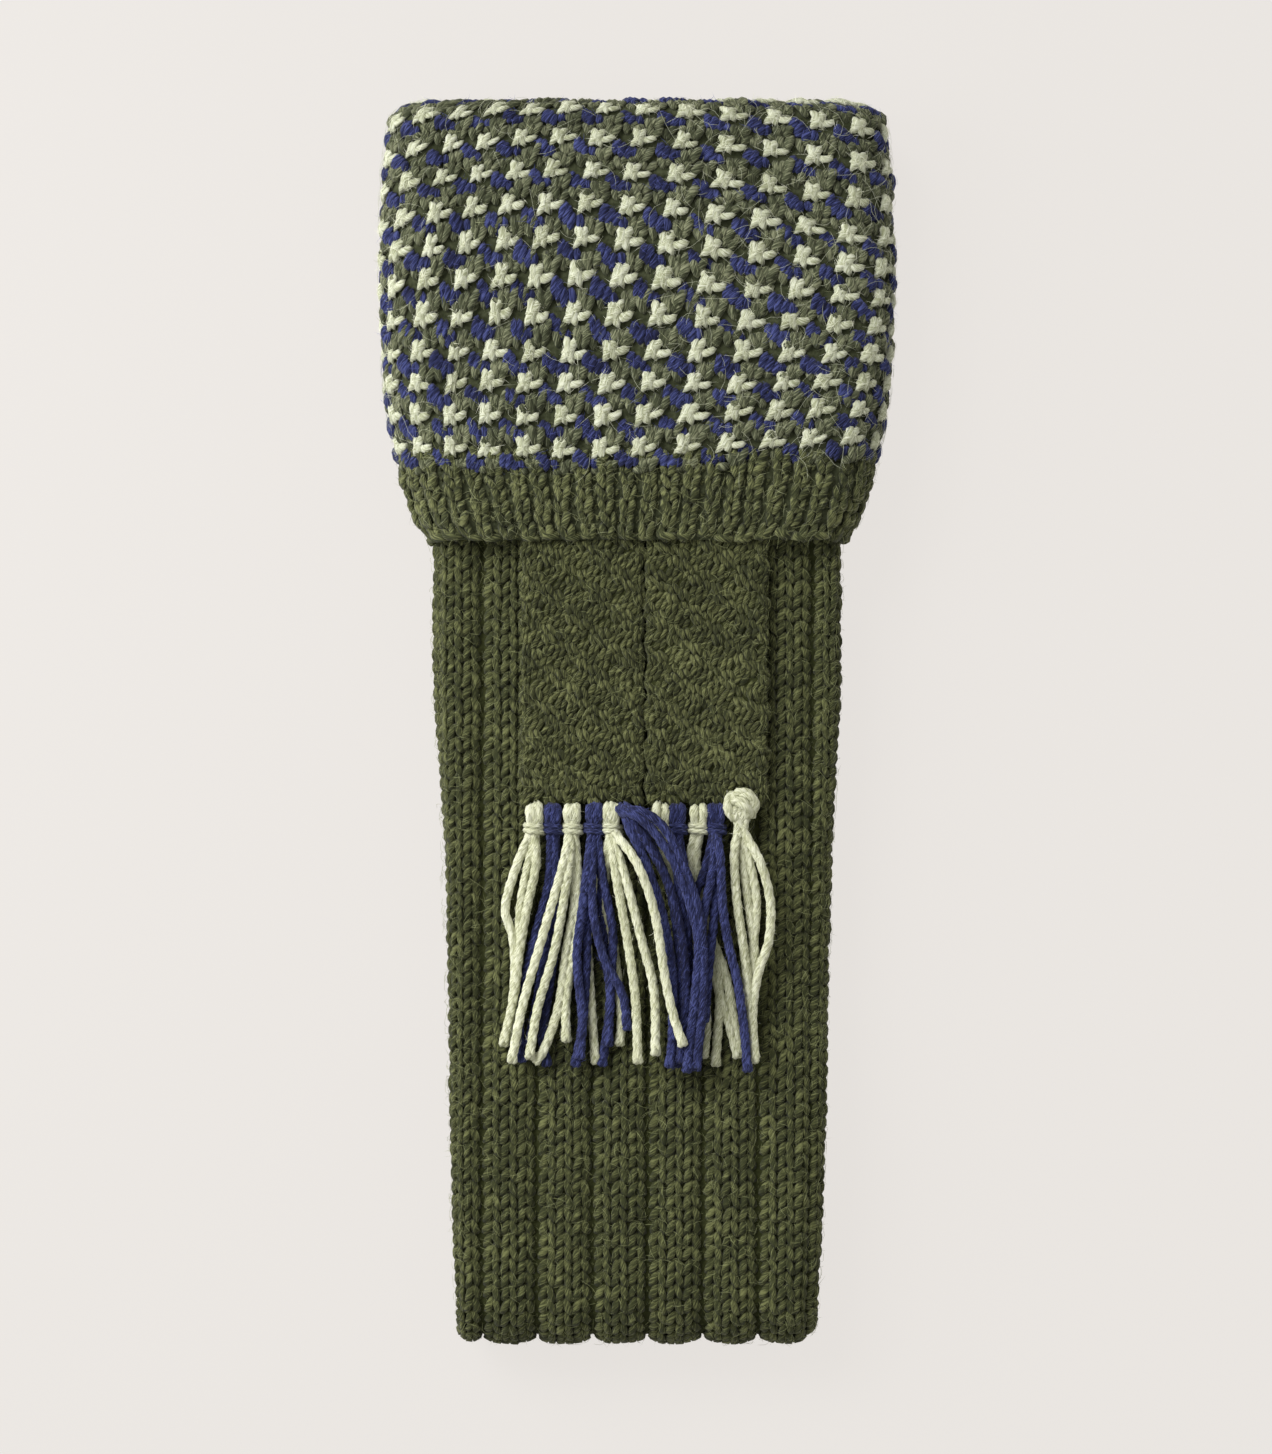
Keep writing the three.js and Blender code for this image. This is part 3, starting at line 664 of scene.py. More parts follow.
# Each stretch is knitted from one place down the tube to another, round part of its girth
def makeTubeKnit(name, stitches, yarn, low, high, wanted, seed):
    cage, size, firstColumn, firstDown = tubeCage(name + "Cage", low - 9, high + 9, 3.0)
    chart = []
    for row in range(math.floor(low / knit["row"]), math.floor(high / knit["row"])):
        down = (row + 0.5) * knit["row"]
        section = tubeSection(down)
        half = halfGirth(section["width"], section["high"] - section["low"])
        for column in range(-knit["reach"], knit["reach"] + 1):
            distance = abs(leg["ribOffset"] - ribPlace(column)[0])
            if wanted(distance, half):
                purl = column % 4 == 0
                sink = -knit["purlSink"] if purl else 0
                chart.append(((column - firstColumn) * knit["column"], down - firstDown, sink, int(purl)))
    knitPiece(name, chart, stitches, cage, size, yarn, seed=seed)


def makeLegKnit(olive):
    stitches = [knitStitch("stitch0"), purlStitch("stitch1", 4.6)]
    plain = [knitStitch("stitch0", 2, 4), purlStitch("stitch1", 4.6, rings=2, sides=3)]
    side = knit["aroundSide"]
    nearFold = straightLength - 10
    foldEnd = straightLength + foldLength
    pastFold = foldEnd + 3
    backEnd = foot["toeSetback"] + foot["toeLength"] + 9
    makeTubeKnit("legKnit", stitches, olive, -knit["above"], nearFold,
                 lambda distance, half: distance <= half / 2 + side, 1)
    makeTubeKnit("ankleKnit", stitches, olive, nearFold, pastFold,
                 lambda distance, half: distance <= half / 2 + 5, 2)
    makeTubeKnit("legBackKnit", stitches, olive, -knit["above"], backEnd,
                 lambda distance, half: half / 2 + side < distance < half - 1.5, 3)
    makeTubeKnit("instepKnit", plain, olive, pastFold, foldEnd + footLength - 1,
                 lambda distance, half: distance <= half / 2 + 3, 4)


def ringCloth(name, sections, wall, inset, steps, closeEnd=False, ribbed=0.0):
    outer, inner = [], []
    for i, section in enumerate(sections):
        half = halfGirth(section["width"], section["high"] - section["low"])
        places = [-half + 2 * half * k / steps for k in range(steps)]
        outer.append([sectionPoint(section, d, inset + ribbed * ribDip(d)) for d in places])
        back = dict(section)
        if closeEnd and i == len(sections) - 1:
            back["y"] -= wall
        inner.append([sectionPoint(back, d, wall) for d in places])
    if closeEnd:
        return skinMesh(name, inner[::-1] + outer, closeEnds=True)
    return skinMesh(name, outer + inner[::-1], loop=True)


def makeTubeCloth(cloth):
    downs = list(np.arange(-leg["insideCuff"], straightLength, 9))
    downs += [straightLength + foldLength * k / 12 for k in range(12)]
    sections = [tubeSection(d) for d in downs]
    mesh = ringCloth("legCloth", sections, leg["wall"], knit["backing"], 200, ribbed=1.35)
    addPiece("legCloth", mesh, cloth, "green_wool", "leg", "lower_leg", "ankle")
    footDowns = [straightLength + foldLength + d for d in np.linspace(0.3, footLength - 1.5, 30)]
    sections = [tubeSection(d) for d in footDowns]
    addPiece("footCloth", ringCloth("footCloth", sections, foot["wall"], 1.4, 96, closeEnd=True), cloth,
             "green_wool", "foot")


# the turned-over cuff: its surface is measured up from the hem and over the roll at the top

cuff = {"depth": 110.7, "overhang": 12.8, "height": 26.6, "roll": 5.15, "welt": 20.2, "halfGirth": 144,
        "motifs": 28, "motifWide": 10.3, "lean": 0.155, "backing": 1.25, "variants": 4, "spare": 1.12,
        "hemThin": 1.9, "thinShare": 0.55, "hemDraw": 3.4, "drawReach": 5, "mouthDraw": 7.3,
        "weltRibs": 48, "weltColumn": 2.75, "weltRow": 3.1, "weltRows": 7, "weltDip": 0.7}
# Share of the cuff's depth above the hem, and share of the overhang
cuffOutline = [(0.00, 0.15), (0.05, 0.33), (0.10, 0.49), (0.14, 0.62), (0.18, 0.65), (0.32, 0.88),
               (0.46, 0.96), (0.64, 1.00), (0.82, 0.96), (1.00, 0.80)]
cuffStraight = cuff["depth"] - cuff["roll"]

# How far the rows bow up in the middle of the front, by height above the hem
cuffBow = [(0, -2.0), (26, -2.9), (33, -1.4), (40, -0.5), (47, 0.6), (61, 5.4), (76, 8.6), (94, 6.9),
           (112, 4.0)]
cuffRows = [(0, 26), (5, 61), (7, 76), (11, 112)]  # each motif row and its height at the sides
# The columns lie wider right of the middle and closer at the left
cuffStretch = {"amount": 0.018, "from": 0.45}

# Across one pair of welt columns, for each place: its share of the pair's width and of the valley's depth
weltProfile = [(0.0, 0.0, 1.0), (0.3, 0.09, 0.9), (0.5, 0.16, 0.45), (0.7, 0.25, 0.12), (1.0, 0.5, 0.0),
               (1.3, 0.75, 0.12), (1.5, 0.84, 0.45), (1.7, 0.91, 0.9)]


def cuffPoint(up, share, depth):
    straight = min(up, cuffStraight)
    angle = max(0, up - cuffStraight) / cuff["roll"]
    bulge = readTable(cuffOutline, straight / cuff["depth"])
    aboveHem = max(0, straight)
    drawnIn = cuff["hemDraw"] * max(0, 1 - aboveHem / cuff["drawReach"])
    width = leg["widthTop"] + 2 * cuff["overhang"] * bulge - drawnIn
    thin = cuff["hemThin"] * max(0, 1 - aboveHem / (cuff["thinShare"] * cuff["welt"]))
    drawn = (width - 2 * cuff["mouthDraw"] - leg["widthTop"]) / 2 * min(1, 2 * angle / math.pi) ** 1.5
    radius = cuff["roll"] - depth
    inset = cuff["roll"] - radius * math.cos(angle) if angle > 0 else depth
    section = {"width": width - 2 * (drawn + inset), "low": inset + thin,
               "high": cuff["height"] - inset - thin,
               "y": hemY + straight + (radius * math.sin(angle) if angle > 0 else 0)}
    half = halfGirth(section["width"], section["high"] - section["low"])
    return sectionPoint(section, share * half, 0)


# The motifs' place on the cuff: columns lean, rows bow and the cloth is stretched unevenly
def motifPoint(up, share, depth):
    bow = readTable(cuffBow, up) * max(0, math.cos(math.pi * (share + 0.08)))
    stretch = cuffStretch["amount"] * math.cos(2 * math.pi * (share - cuffStretch["from"]))
    lean = cuff["lean"] * (cuff["depth"] - up) / cuff["halfGirth"]
    return cuffPoint(up + bow, share + stretch - lean, depth)


def makeMotifCage():
    shares = np.linspace(-cuff["spare"], cuff["spare"], 270)
    ups = np.arange(10, cuff["depth"] + 14, 2.2)
    grid = [[motifPoint(up, s, knit["inset"]) for s in shares] for up in ups]
    size = (cuff["motifs"] * cuff["motifWide"] * cuff["spare"], float(ups[-1] - ups[0]))
    return cageObject("motifCage", grid, shares, ups), size, float(ups[0])


def makeWeltCage():
    ribs = cuff["weltRibs"]
    spare = 4
    places = [(rib + share, dip) for rib in range(-spare, ribs + spare) for _, share, dip in weltProfile]
    columns = [2 * rib + place for rib in range(-spare, ribs + spare) for place, _, _ in weltProfile]
    ups = np.arange(-4, cuff["welt"] + 8, 1.5)
    grid = [[cuffPoint(up, -1 + 2 * s / ribs, knit["inset"] + dip * cuff["weltDip"]) for s, dip in places]
            for up in ups]
    size = ((columns[-1] - columns[0]) * cuff["weltColumn"], float(ups[-1] - ups[0]))
    return cageObject("weltCage", grid, columns, ups), size, columns[0], float(ups[0])


def shortStrand(wide, *points, tip=0.55):
    tall = wide * 0.7
    return {"path": points, "wide": (wide * tip, wide, wide, wide * tip),
            "tall": (tall * 0.5, tall, tall, tall * 0.5)}


# The strands of one repeat in each colour, about the middle of its pale star
motif = {
    "cream": [
        shortStrand(2.4, (-1.6, 3.0, 0.1), (-0.6, 1.3, 0.7), (0.3, -0.2, 0.9), (1.7, -2.6, 0.2), tip=0.6),
        shortStrand(2.4, (1.9, 2.9, 0.1), (0.9, 1.2, 0.7), (-0.3, -0.3, 0.8), (-2.2, -2.8, 0.2), tip=0.6),
        shortStrand(2.0, (0.6, -0.2, 0.4), (2.2, -0.8, 0.7), (3.5, -0.5, 0.7), (4.8, 0.4, 0.2), tip=0.7),
        shortStrand(2.5, (-1.7, -0.3, 0.2), (-0.6, 0.0, 0.6), (0.7, 0.0, 0.6), (1.9, -0.4, 0.2), tip=0.7),
    ],
    "navy": [
        shortStrand(2.5, (-4.9, -0.1, -0.4), (-5.0, -1.6, 0.4), (-5.1, -3.0, 0.5), (-5.2, -4.7, -0.3)),
        shortStrand(2.5, (-3.6, -0.7, -0.4), (-3.6, -2.2, 0.5), (-3.6, -3.8, 0.6), (-3.7, -5.4, -0.3)),
        shortStrand(2.4, (-2.3, -1.9, -0.4), (-2.2, -3.2, 0.4), (-2.1, -4.4, 0.5), (-2.2, -5.9, -0.4)),
        shortStrand(2.3, (-1.4, -2.8, -0.4), (-0.8, -3.5, 0.3), (-0.2, -4.3, 0.3), (0.5, -5.5, -0.4)),
    ],
    "olive": [
        shortStrand(2.3, (1.6, 5.0, -0.4), (2.2, 3.4, 0.4), (2.7, 1.9, 0.4), (3.3, 0.0, -0.4)),
        shortStrand(2.3, (5.3, 4.6, -0.4), (4.7, 3.1, 0.4), (4.2, 1.6, 0.4), (3.5, 0.1, -0.4)),
        shortStrand(2.3, (0.6, -2.7, -0.4), (1.4, -3.8, 0.4), (2.0, -5.0, 0.4), (2.8, -6.8, -0.4)),
        shortStrand(2.3, (5.4, -1.3, -0.4), (4.7, -2.9, 0.4), (4.1, -4.5, 0.4), (3.4, -6.3, -0.4)),
        shortStrand(2.1, (2.6, -2.4, -0.4), (2.9, -3.2, 0.3), (3.0, -4.2, 0.3), (3.1, -5.4, -0.4)),
        shortStrand(2.2, (-4.9, 4.4, -0.4), (-4.1, 3.1, 0.3), (-3.4, 1.9, 0.3), (-2.5, 0.2, -0.4)),
        shortStrand(2.1, (-1.5, 5.2, -0.4), (-1.9, 4.0, 0.3), (-2.3, 2.8, 0.3), (-2.7, 1.2, -0.4)),
        shortStrand(2.2, (-1.2, -5.2, -0.4), (-0.2, -5.6, 0.3), (0.7, -5.8, 0.3), (1.8, -6.2, -0.4)),
    ],
}


# No two hand-knitted motifs are quite alike: each strand is shifted a little and its ends bent
def variedStrands(strands, rng, amount):
    varied = []
    for strand in strands:
        shift = [rng.uniform(-amount, amount) for _ in range(2)]
        points = [(x + shift[0] + rng.uniform(-amount, amount), y + shift[1] + rng.uniform(-amount, amount),
                   z) for x, y, z in strand["path"]]
        varied.append({**strand, "path": points, "start": rng.uniform(0, 20)})
    return varied


def makeCuffKnit(dyed):
    cage, size, firstUp = makeMotifCage()
    margin = (cuff["spare"] - 1) / 2 * cuff["motifs"] * cuff["motifWide"]
    rng = random.Random(17)
    for seed, (colour, strands) in enumerate(motif.items()):
        stitches = [stitchObject(f"{colour}{n}", variedStrands(strands, rng, 0.22), 4, 6)
                    for n in range(cuff["variants"])]
        chart = []
        for row in range(12):
            up = readTable(cuffRows, row)
            for column in range(cuff["motifs"]):
                across = (column + 0.5) * cuff["motifWide"] + margin
                chart.append((across, up - firstUp, 0, rng.randrange(cuff["variants"])))
        knitPiece("cuff" + colour.capitalize(), chart, stitches, cage, size, dyed[colour],
                  jitter=0.22, wobble=1.8, height=0.1, seed=seed + 11)


def makeWeltKnit(olive):
    cage, size, firstColumn, firstUp = makeWeltCage()
    stitches = [knitStitch("stitch0"), purlStitch("stitch1", 3.2)]
    for stitch in stitches:
        for vertex in stitch.data.vertices:
            vertex.co.x *= cuff["weltColumn"] / knit["column"]
    chart = []
    for row in range(cuff["weltRows"]):
        up = 1.4 + (row + 0.5) * cuff["weltRow"]
        for column in range(2 * cuff["weltRibs"]):
            purl = column % 2 == 0
            across = (column - firstColumn) * cuff["weltColumn"]
            chart.append((across, up - firstUp, -0.3 if purl else 0, int(purl)))
    knitPiece("weltKnit", chart, stitches, cage, size, olive, jitter=0.35, wobble=2.2, seed=21)
    loop = stitchObject("stitch0", [{
        "path": [(-4.2, 2.2, -0.5), (-2.3, 0.7, 0.3), (-0.1, -0.1, 0.5), (2.1, 0.2, 0.3), (4.0, 1.4, -0.5)],
        "wide": (1.0, 1.9, 2.3, 2.0, 1.0), "tall": (0.9, 1.5, 1.8, 1.5, 0.9)}], 6, 6)
    chart = [((column - firstColumn) * cuff["weltColumn"], 1.5 - firstUp, -0.1, 0)
             for column in range(1, 2 * cuff["weltRibs"], 2)]
    knitPiece("hemLoops", chart, [loop], cage, size, olive, jitter=0.55, wobble=1.6, seed=22)


def makeCuffCloth(cloth):
    steps = 160
    shares = [-1 + 2 * k / steps for k in range(steps)]

    def rings(ups, depth):
        return [[cuffPoint(up, s, depth) for s in shares] for up in ups]

    rollEnd = cuffStraight + math.pi * cuff["roll"]
    split = cuff["welt"]
    outerUps = list(np.linspace(split, cuffStraight, 16)) + list(np.linspace(cuffStraight + 1, rollEnd, 12))
    innerUps = list(np.linspace(split, cuffStraight, 6)) + list(np.linspace(cuffStraight + 1, rollEnd, 8))
    mesh = skinMesh("cuffCloth", rings(outerUps, cuff["backing"]) + rings(innerUps, 3.2)[::-1], loop=True)
    addPiece("cuffCloth", mesh, cloth, "tweed_wool", "cuff_pattern")
    weltUps = list(np.linspace(0.8, split - 0.3, 8))
    mesh = skinMesh("weltCloth", rings(weltUps, 1.5) + rings(weltUps, 2.6)[::-1], loop=True)
    addPiece("weltCloth", mesh, cloth, "green_wool", "cuff_welt")


# the garter's hanging ends, in double moss stitch

garter = {"width": 31.2, "thickness": 3.2, "gap": -0.2, "offset": 1.9, "columns": 11, "row": 2.5,
          "inset": 1.0, "backing": 0.9, "backingInset": 0.4, "band": 9.0, "waver": 0.03,
          "tucked": 6, "spare": 5.4, "clothLength": 98}


def endPoint(side, across, along, depth, inset=None):
    half = garter["width"] / 2
    middle = garter["offset"] + side * (half + garter["gap"] / 2)
    radius = garter["thickness"] / 2
    waver = 1 + side * garter["waver"] * math.sin(2 * math.pi * along / garter["band"])
    point, up, outAcross, outUp = outlinePoint(across, garter["width"], garter["thickness"])
    inset = depth if inset is None else inset
    return ((middle + (point - outAcross * inset) * waver) * mm, along * mm,
            (garterZ + radius + up - outUp * depth) * mm)


def mossStitches():
    def grain(x, lean, start):
        return {"path": [(x - lean, -1.9, -0.6), (x - lean * 0.5, -0.8, 0.35), (x + lean * 0.5, 0.8, 0.4),
                         (x + lean, 1.9, -0.6)],
                "wide": (0.9, 1.65, 1.65, 0.9), "tall": (0.8, 1.4, 1.4, 0.8), "start": start}
    return [stitchObject("moss0", [grain(-0.75, 0.95, 0), grain(0.7, 0.8, 5)], 4, 5),
            stitchObject("moss1", [grain(-0.7, -0.8, 9), grain(0.75, -1.0, 14)], 4, 5)]


def makeGarterEnds(olive, cloth):
    top = hemY + garter["tucked"]
    wide = garter["width"] / garter["columns"]
    reach = garter["width"] / 2 + garter["spare"]
    stitches = mossStitches()
    acrosses = list(np.linspace(-reach, reach, 40))
    alongs = list(np.linspace(garterEndY - 4, top + 6, 60))
    for side, label in ((-1, "left"), (1, "right")):
        grid = [[endPoint(side, a, y, garter["inset"]) for a in acrosses] for y in alongs]
        cage = cageObject(label + "EndCage", grid, acrosses, alongs)
        chart = []
        for row in range(int((top - garterEndY) / garter["row"])):
            for column in range(-1, garter["columns"] + 1):
                x = (column + 0.5 - garter["columns"] / 2) * wide
                purl = (column + row) // 2 % 2
                along = garterEndY + (row + 0.55 + 0.5 * (column % 2)) * garter["row"]
                chart.append((x - acrosses[0], along - alongs[0], 0.15 if purl else 0, purl))
        knitPiece(label + "EndKnit", chart, stitches, cage, (2 * reach, alongs[-1] - alongs[0]), olive,
                  seed=31 + side, jitter=0.35, wobble=1.5)
        half = halfGirth(garter["width"], garter["thickness"])
        steps = 40
        rings = [[endPoint(side, -half + 2 * half * k / steps, y, garter["backing"], garter["backingInset"])
                  for k in range(steps)]
                 for y in np.linspace(garterEndY + 0.8, garterEndY + garter["clothLength"], 60)]
        mesh = skinMesh(label + "EndCloth", rings, closeEnds=True)
        addPiece(label + "EndCloth", mesh, cloth, "green_wool", "garter_end_" + label)


# the fringe: each tassel is a folded bundle of twisted strands, held by a band at its neck

fringe = {"thick": 2.85, "plies": 3, "plyShare": 0.66, "turn": 10.5, "flare": 1.6, "step": 1.5,
          "headTop": 0.9, "headWide": 2.3, "neck": 5.6, "layer": 1.7, "floor": 1.4, "loose": 6,
          "knotted": 11}
neckYarn = {"thick": 1.7, "turn": 6, "step": 0.7}
knotYarn = {"thick": 3.3, "turn": 11, "step": 0.9}
knotLoops = [
    [(24.9, -17.0, 0.0), (22.9, -18.8, 1.2), (22.9, -21.4, 1.4), (24.8, -23.6, 0.4)],
    [(24.0, -17.4, 1.0), (26.9, -17.0, 2.0), (29.3, -19.4, 1.8), (28.2, -22.8, 0.4)],
    [(24.4, -19.4, -0.2), (26.2, -20.6, 0.5), (28.2, -21.8, 0.1)],
    [(23.6, -22.6, 0.6), (25.4, -20.6, 1.6), (27.6, -19.8, 1.6), (28.6, -18.2, 0.6)],
    [(23.7, -19.4, 1.4), (25.3, -19.0, 2.8), (27.2, -20.4, 3.0), (28.2, -22.8, 1.2)],
]  # the last tassel's knot: places across, along and above the garter's face

# For each tassel: its yarn, where its head is across the sock, and its strands, each with a layer and its
# places across and along the sock from the neck to the cut end
tassels = [
    ("cream", -25.6, [
        (0, [(-30.0, -35), (-33.0, -46), (-31.0, -53), (-30.6, -64), (-32.3, -79)]),
        (1, [(-25.2, -35), (-27.5, -46), (-29.5, -58), (-30.5, -67), (-33.4, -80)]),
        (0, [(-27.4, -36), (-29.2, -46), (-29.4, -57)])]),
    ("navy", -21.0, [
        (0, [(-22.0, -39), (-25.0, -51), (-28.0, -64), (-29.3, -76), (-28.6, -84)]),
        (0, [(-20.6, -40), (-22.6, -55), (-24.8, -68), (-27.0, -80)]),
        (0, [(-19.9, -38), (-19.8, -50), (-21.6, -64), (-23.6, -78), (-22.2, -85)])]),
    ("cream", -16.2, [
        (2, [(-18.2, -34), (-21.0, -44), (-24.5, -56), (-28.5, -70), (-31.2, -84)]),
        (2, [(-17.2, -37), (-20.5, -56), (-24.6, -70), (-26.8, -83)]),
        (1, [(-15.6, -44), (-17.6, -56), (-19.5, -70), (-23.2, -81), (-25.6, -84)]),
        (1, [(-14.6, -40), (-15.4, -54), (-17.6, -68), (-17.6, -79)])]),
    ("navy", -10.7, [
        (2, [(-13.4, -44), (-15.0, -58), (-13.6, -73), (-14.2, -83)]),
        (1, [(-12.2, -42), (-12.6, -60), (-13.5, -74), (-15.4, -85)]),
        (2, [(-11.2, -44), (-8.3, -58), (-3.6, -67), (-2.4, -76)]),
        (0, [(-9.2, -42), (-8.2, -56), (-6.6, -68), (-8.0, -80), (-8.8, -85)]),
        (1, [(-8.2, -40), (-6.0, -52), (-6.6, -66), (-7.2, -80)])]),
    ("cream", -6.4, [
        (3, [(-5.0, -39), (-2.5, -53), (-0.4, -68), (0.2, -84)]),
        (3, [(-2.6, -39), (1.0, -53), (4.2, -66), (4.6, -82)]),
        (5, [(-0.2, -34), (4.2, -46), (7.0, -63), (9.0, -72), (11.5, -79.5)]),
        (0, [(-11.0, -42), (-12.4, -52), (-12.0, -61), (-11.2, -73), (-10.3, -84.5)]),
        (0, [(-8.0, -38), (-8.3, -46), (-6.5, -51), (-5.0, -62), (-3.9, -74), (-4.5, -80)])]),
    ("navy", -3.4, [
        (4, [(-0.4, -22.5), (4.6, -27.0), (9.6, -35), (13.2, -45), (15.2, -54), (14.5, -66), (12.2, -86)]),
        (3, [(-1.4, -24.0), (2.6, -29.5), (7.6, -39), (11.0, -52), (12.2, -68), (10.6, -84)]),
        (4, [(0.6, -21.3), (6.6, -25.4), (12.0, -36), (15.8, -49), (16.4, -66), (14.6, -85)]),
        (3, [(-2.2, -25.4), (1.4, -32.5), (5.8, -45), (8.6, -60), (8.8, -76), (8.0, -85)]),
        (2, [(-1.2, -23.4), (3.8, -30.5), (8.4, -42), (10.6, -58), (10.8, -70), (9.6, -85)])]),
    ("cream", 6.0, [
        (0, [(8.0, -36), (12.0, -48), (17.0, -58), (21.0, -68), (25.2, -83)]),
        (0, [(7.4, -38), (11.0, -50), (16.0, -64), (17.4, -74), (16.6, -83)])]),
    ("navy", 10.0, [
        (1, [(10.6, -38), (12.4, -52), (13.6, -66), (13.2, -85.5)]),
        (1, [(12.4, -38), (15.6, -50), (17.2, -62), (15.8, -76), (14.6, -86)]),
        (2, [(10.0, -36), (11.4, -48), (11.8, -62), (11.6, -78)])]),
    ("cream", 15.4, [
        (0, [(13.4, -33), (14.6, -44), (19.4, -56), (20.6, -68), (19.5, -85)]),
        (0, [(14.8, -34), (16.8, -48), (22.0, -62), (24.2, -74), (25.6, -82)])]),
    ("navy", 19.6, [
        (3, [(20.6, -32), (21.2, -44), (22.6, -54), (25.0, -64), (26.6, -76), (27.4, -86)]),
        (2, [(17.0, -36), (14.0, -44), (12.2, -56), (12.8, -70)]),
        (3, [(18.8, -36), (16.8, -46), (15.4, -58), (16.4, -70), (14.4, -83)]),
        (2, [(20.0, -38), (19.0, -50), (17.8, -62), (16.8, -74)])]),
    ("cream", 26.0, [
        (2, [(24.2, -32), (24.9, -44), (26.6, -56), (28.2, -70), (29.3, -83)]),
        (1, [(28.0, -34), (29.8, -44), (28.8, -57), (27.4, -70), (28.2, -80)]),
        (2, [(30.6, -34), (33.2, -44), (32.8, -54), (30.4, -61), (28.8, -71), (29.2, -84)]),
        (1, [(26.4, -34), (28.0, -46), (29.4, -58), (28.4, -73)])]),
]


# A smooth path through a few places, with points at an even step
def smoothPath(points, step):
    spots = np.array(points, float)
    ends = np.vstack([2 * spots[0] - spots[1], spots, 2 * spots[-1] - spots[-2]])
    fine = []
    for a, b, c, d in zip(ends, ends[1:], ends[2:], ends[3:]):
        for t in np.linspace(0, 1, 12, endpoint=False):
            fine.append(0.5 * (2 * b + (c - a) * t + (2 * a - 5 * b + 4 * c - d) * t ** 2
                               + (3 * b - a - 3 * c + d) * t ** 3))
    fine = np.array(fine + [spots[-1]])
    lengths = np.concatenate([[0], np.cumsum(np.linalg.norm(np.diff(fine, axis=0), axis=1))])
    places = np.linspace(0, lengths[-1], max(4, round(lengths[-1] / step)))
    return np.column_stack([np.interp(places, lengths, fine[:, k]) for k in range(3)])


# Plies wound round a path through a few places, with a blunt cut end where they spread a little
def pliedStrands(places, yarn, start, flare=1.0):
    path = smoothPath(places, yarn["step"])
    path = np.vstack([path, path[-1] + (path[-1] - path[-2]) * 0.15])
    tangents = np.gradient(path, axis=0)
    tangents /= np.linalg.norm(tangents, axis=1)[:, None]
    sides = np.cross(tangents, (0, 0, 1))
    sides /= np.maximum(np.linalg.norm(sides, axis=1), 1e-6)[:, None]
    ups = np.cross(sides, tangents)
    lengths = np.concatenate([[0], np.cumsum(np.linalg.norm(np.diff(path, axis=0), axis=1))])
    ply = yarn["thick"] * fringe["plyShare"]
    spread = np.interp(lengths, [0, lengths[-1] - 4, lengths[-1]], [1, 1, flare]) * (yarn["thick"] - ply) / 2
    strands = []
    for which in range(fringe["plies"]):
        angles = start + 2 * math.pi * (which / fringe["plies"] + lengths / yarn["turn"])
        offsets = sides * np.cos(angles)[:, None] + ups * np.sin(angles)[:, None]
        strands.append({"path": path + offsets * spread[:, None], "ply": ply})
    return strands


# Yarn in one mesh, from a list of paths in millimetres with the width of each
def yarnMesh(name, strands, sides):
    shaped, tones = [], []
    for index, strand in enumerate(strands):
        steps = len(strand["path"]) - 2
        end = strand["ply"] * 0.7
        widths = [end] + [strand["ply"]] * steps + [end]
        shaped.append({"path": strand["path"], "wide": widths, "tall": widths, "start": 13.7 * index})
        tones += [strand.get("tone", 0.5)] * (steps * sides + 2)
    mesh = strandMesh(name, shaped, None, sides, mm)
    tone = mesh.attributes.new("tone", "FLOAT", "POINT")
    tone.data.foreach_set("value", tones)
    return mesh


def legSurface(y):
    return tubeSection(hemY - y)["high"]


# The bundle is folded through the garter's edge: a rounded head, a tied neck, then the loose strands
def makeFringe(dyed):
    rng = random.Random(8)
    neckY = garterEndY - fringe["neck"]
    neckZ = legSurface(neckY)
    for index, (colour, x, strands) in enumerate(tassels):
        name = f"tassel_{index + 1:02d}"
        yarn = []
        for number, (layer, places) in enumerate(strands):
            lean = (number / max(1, len(strands) - 1) - 0.5) * fringe["headWide"]
            headY = garterEndY + fringe["headTop"] + rng.uniform(-0.5, 0.5)
            path = [(x + lean * 0.6, headY, garterTop - 1.2),
                    (x + lean * 1.05, garterEndY - 1.2, garterTop + 0.6),
                    (x + lean * 1.1, garterEndY - 2.9, (garterTop + neckZ) / 2 + 1.9),
                    (x + lean * 0.5, neckY, neckZ + 2.5)]
            if index + 1 == fringe["loose"]:
                path = path[:2]
            for across, along in places:
                path.append((across, along, legSurface(along) + fringe["floor"] + layer * fringe["layer"]))
            tone = rng.random()
            plies = pliedStrands(path, fringe, rng.uniform(0, 6), fringe["flare"])
            yarn += [{**ply, "tone": tone} for ply in plies]
        wraps = 0 if index + 1 in (fringe["loose"], fringe["knotted"]) else 2
        for wrap in range(wraps):
            y = neckY + 0.6 - 1.3 * wrap
            band = [(x - 2.3, y + 0.2, neckZ + 0.4), (x - 1.9, y + 0.15, neckZ + 2.9), (x, y, neckZ + 4.0),
                    (x + 1.9, y - 0.2, neckZ + 2.9), (x + 2.3, y - 0.3, neckZ + 0.4)]
            yarn += pliedStrands(band, neckYarn, wrap)
        if index + 1 == fringe["knotted"]:
            for loop in knotLoops:
                path = [(across, along, garterTop - 1.0 + rise) for across, along, rise in loop]
                yarn += pliedStrands(path, knotYarn, 1.0)
        addPiece(name + "Yarn", yarnMesh(name + "Yarn", yarn, 6), dyed[colour], woolSlots[colour], name)


# fuzz: short fibres that lie on the yarn, grown on the finished pieces

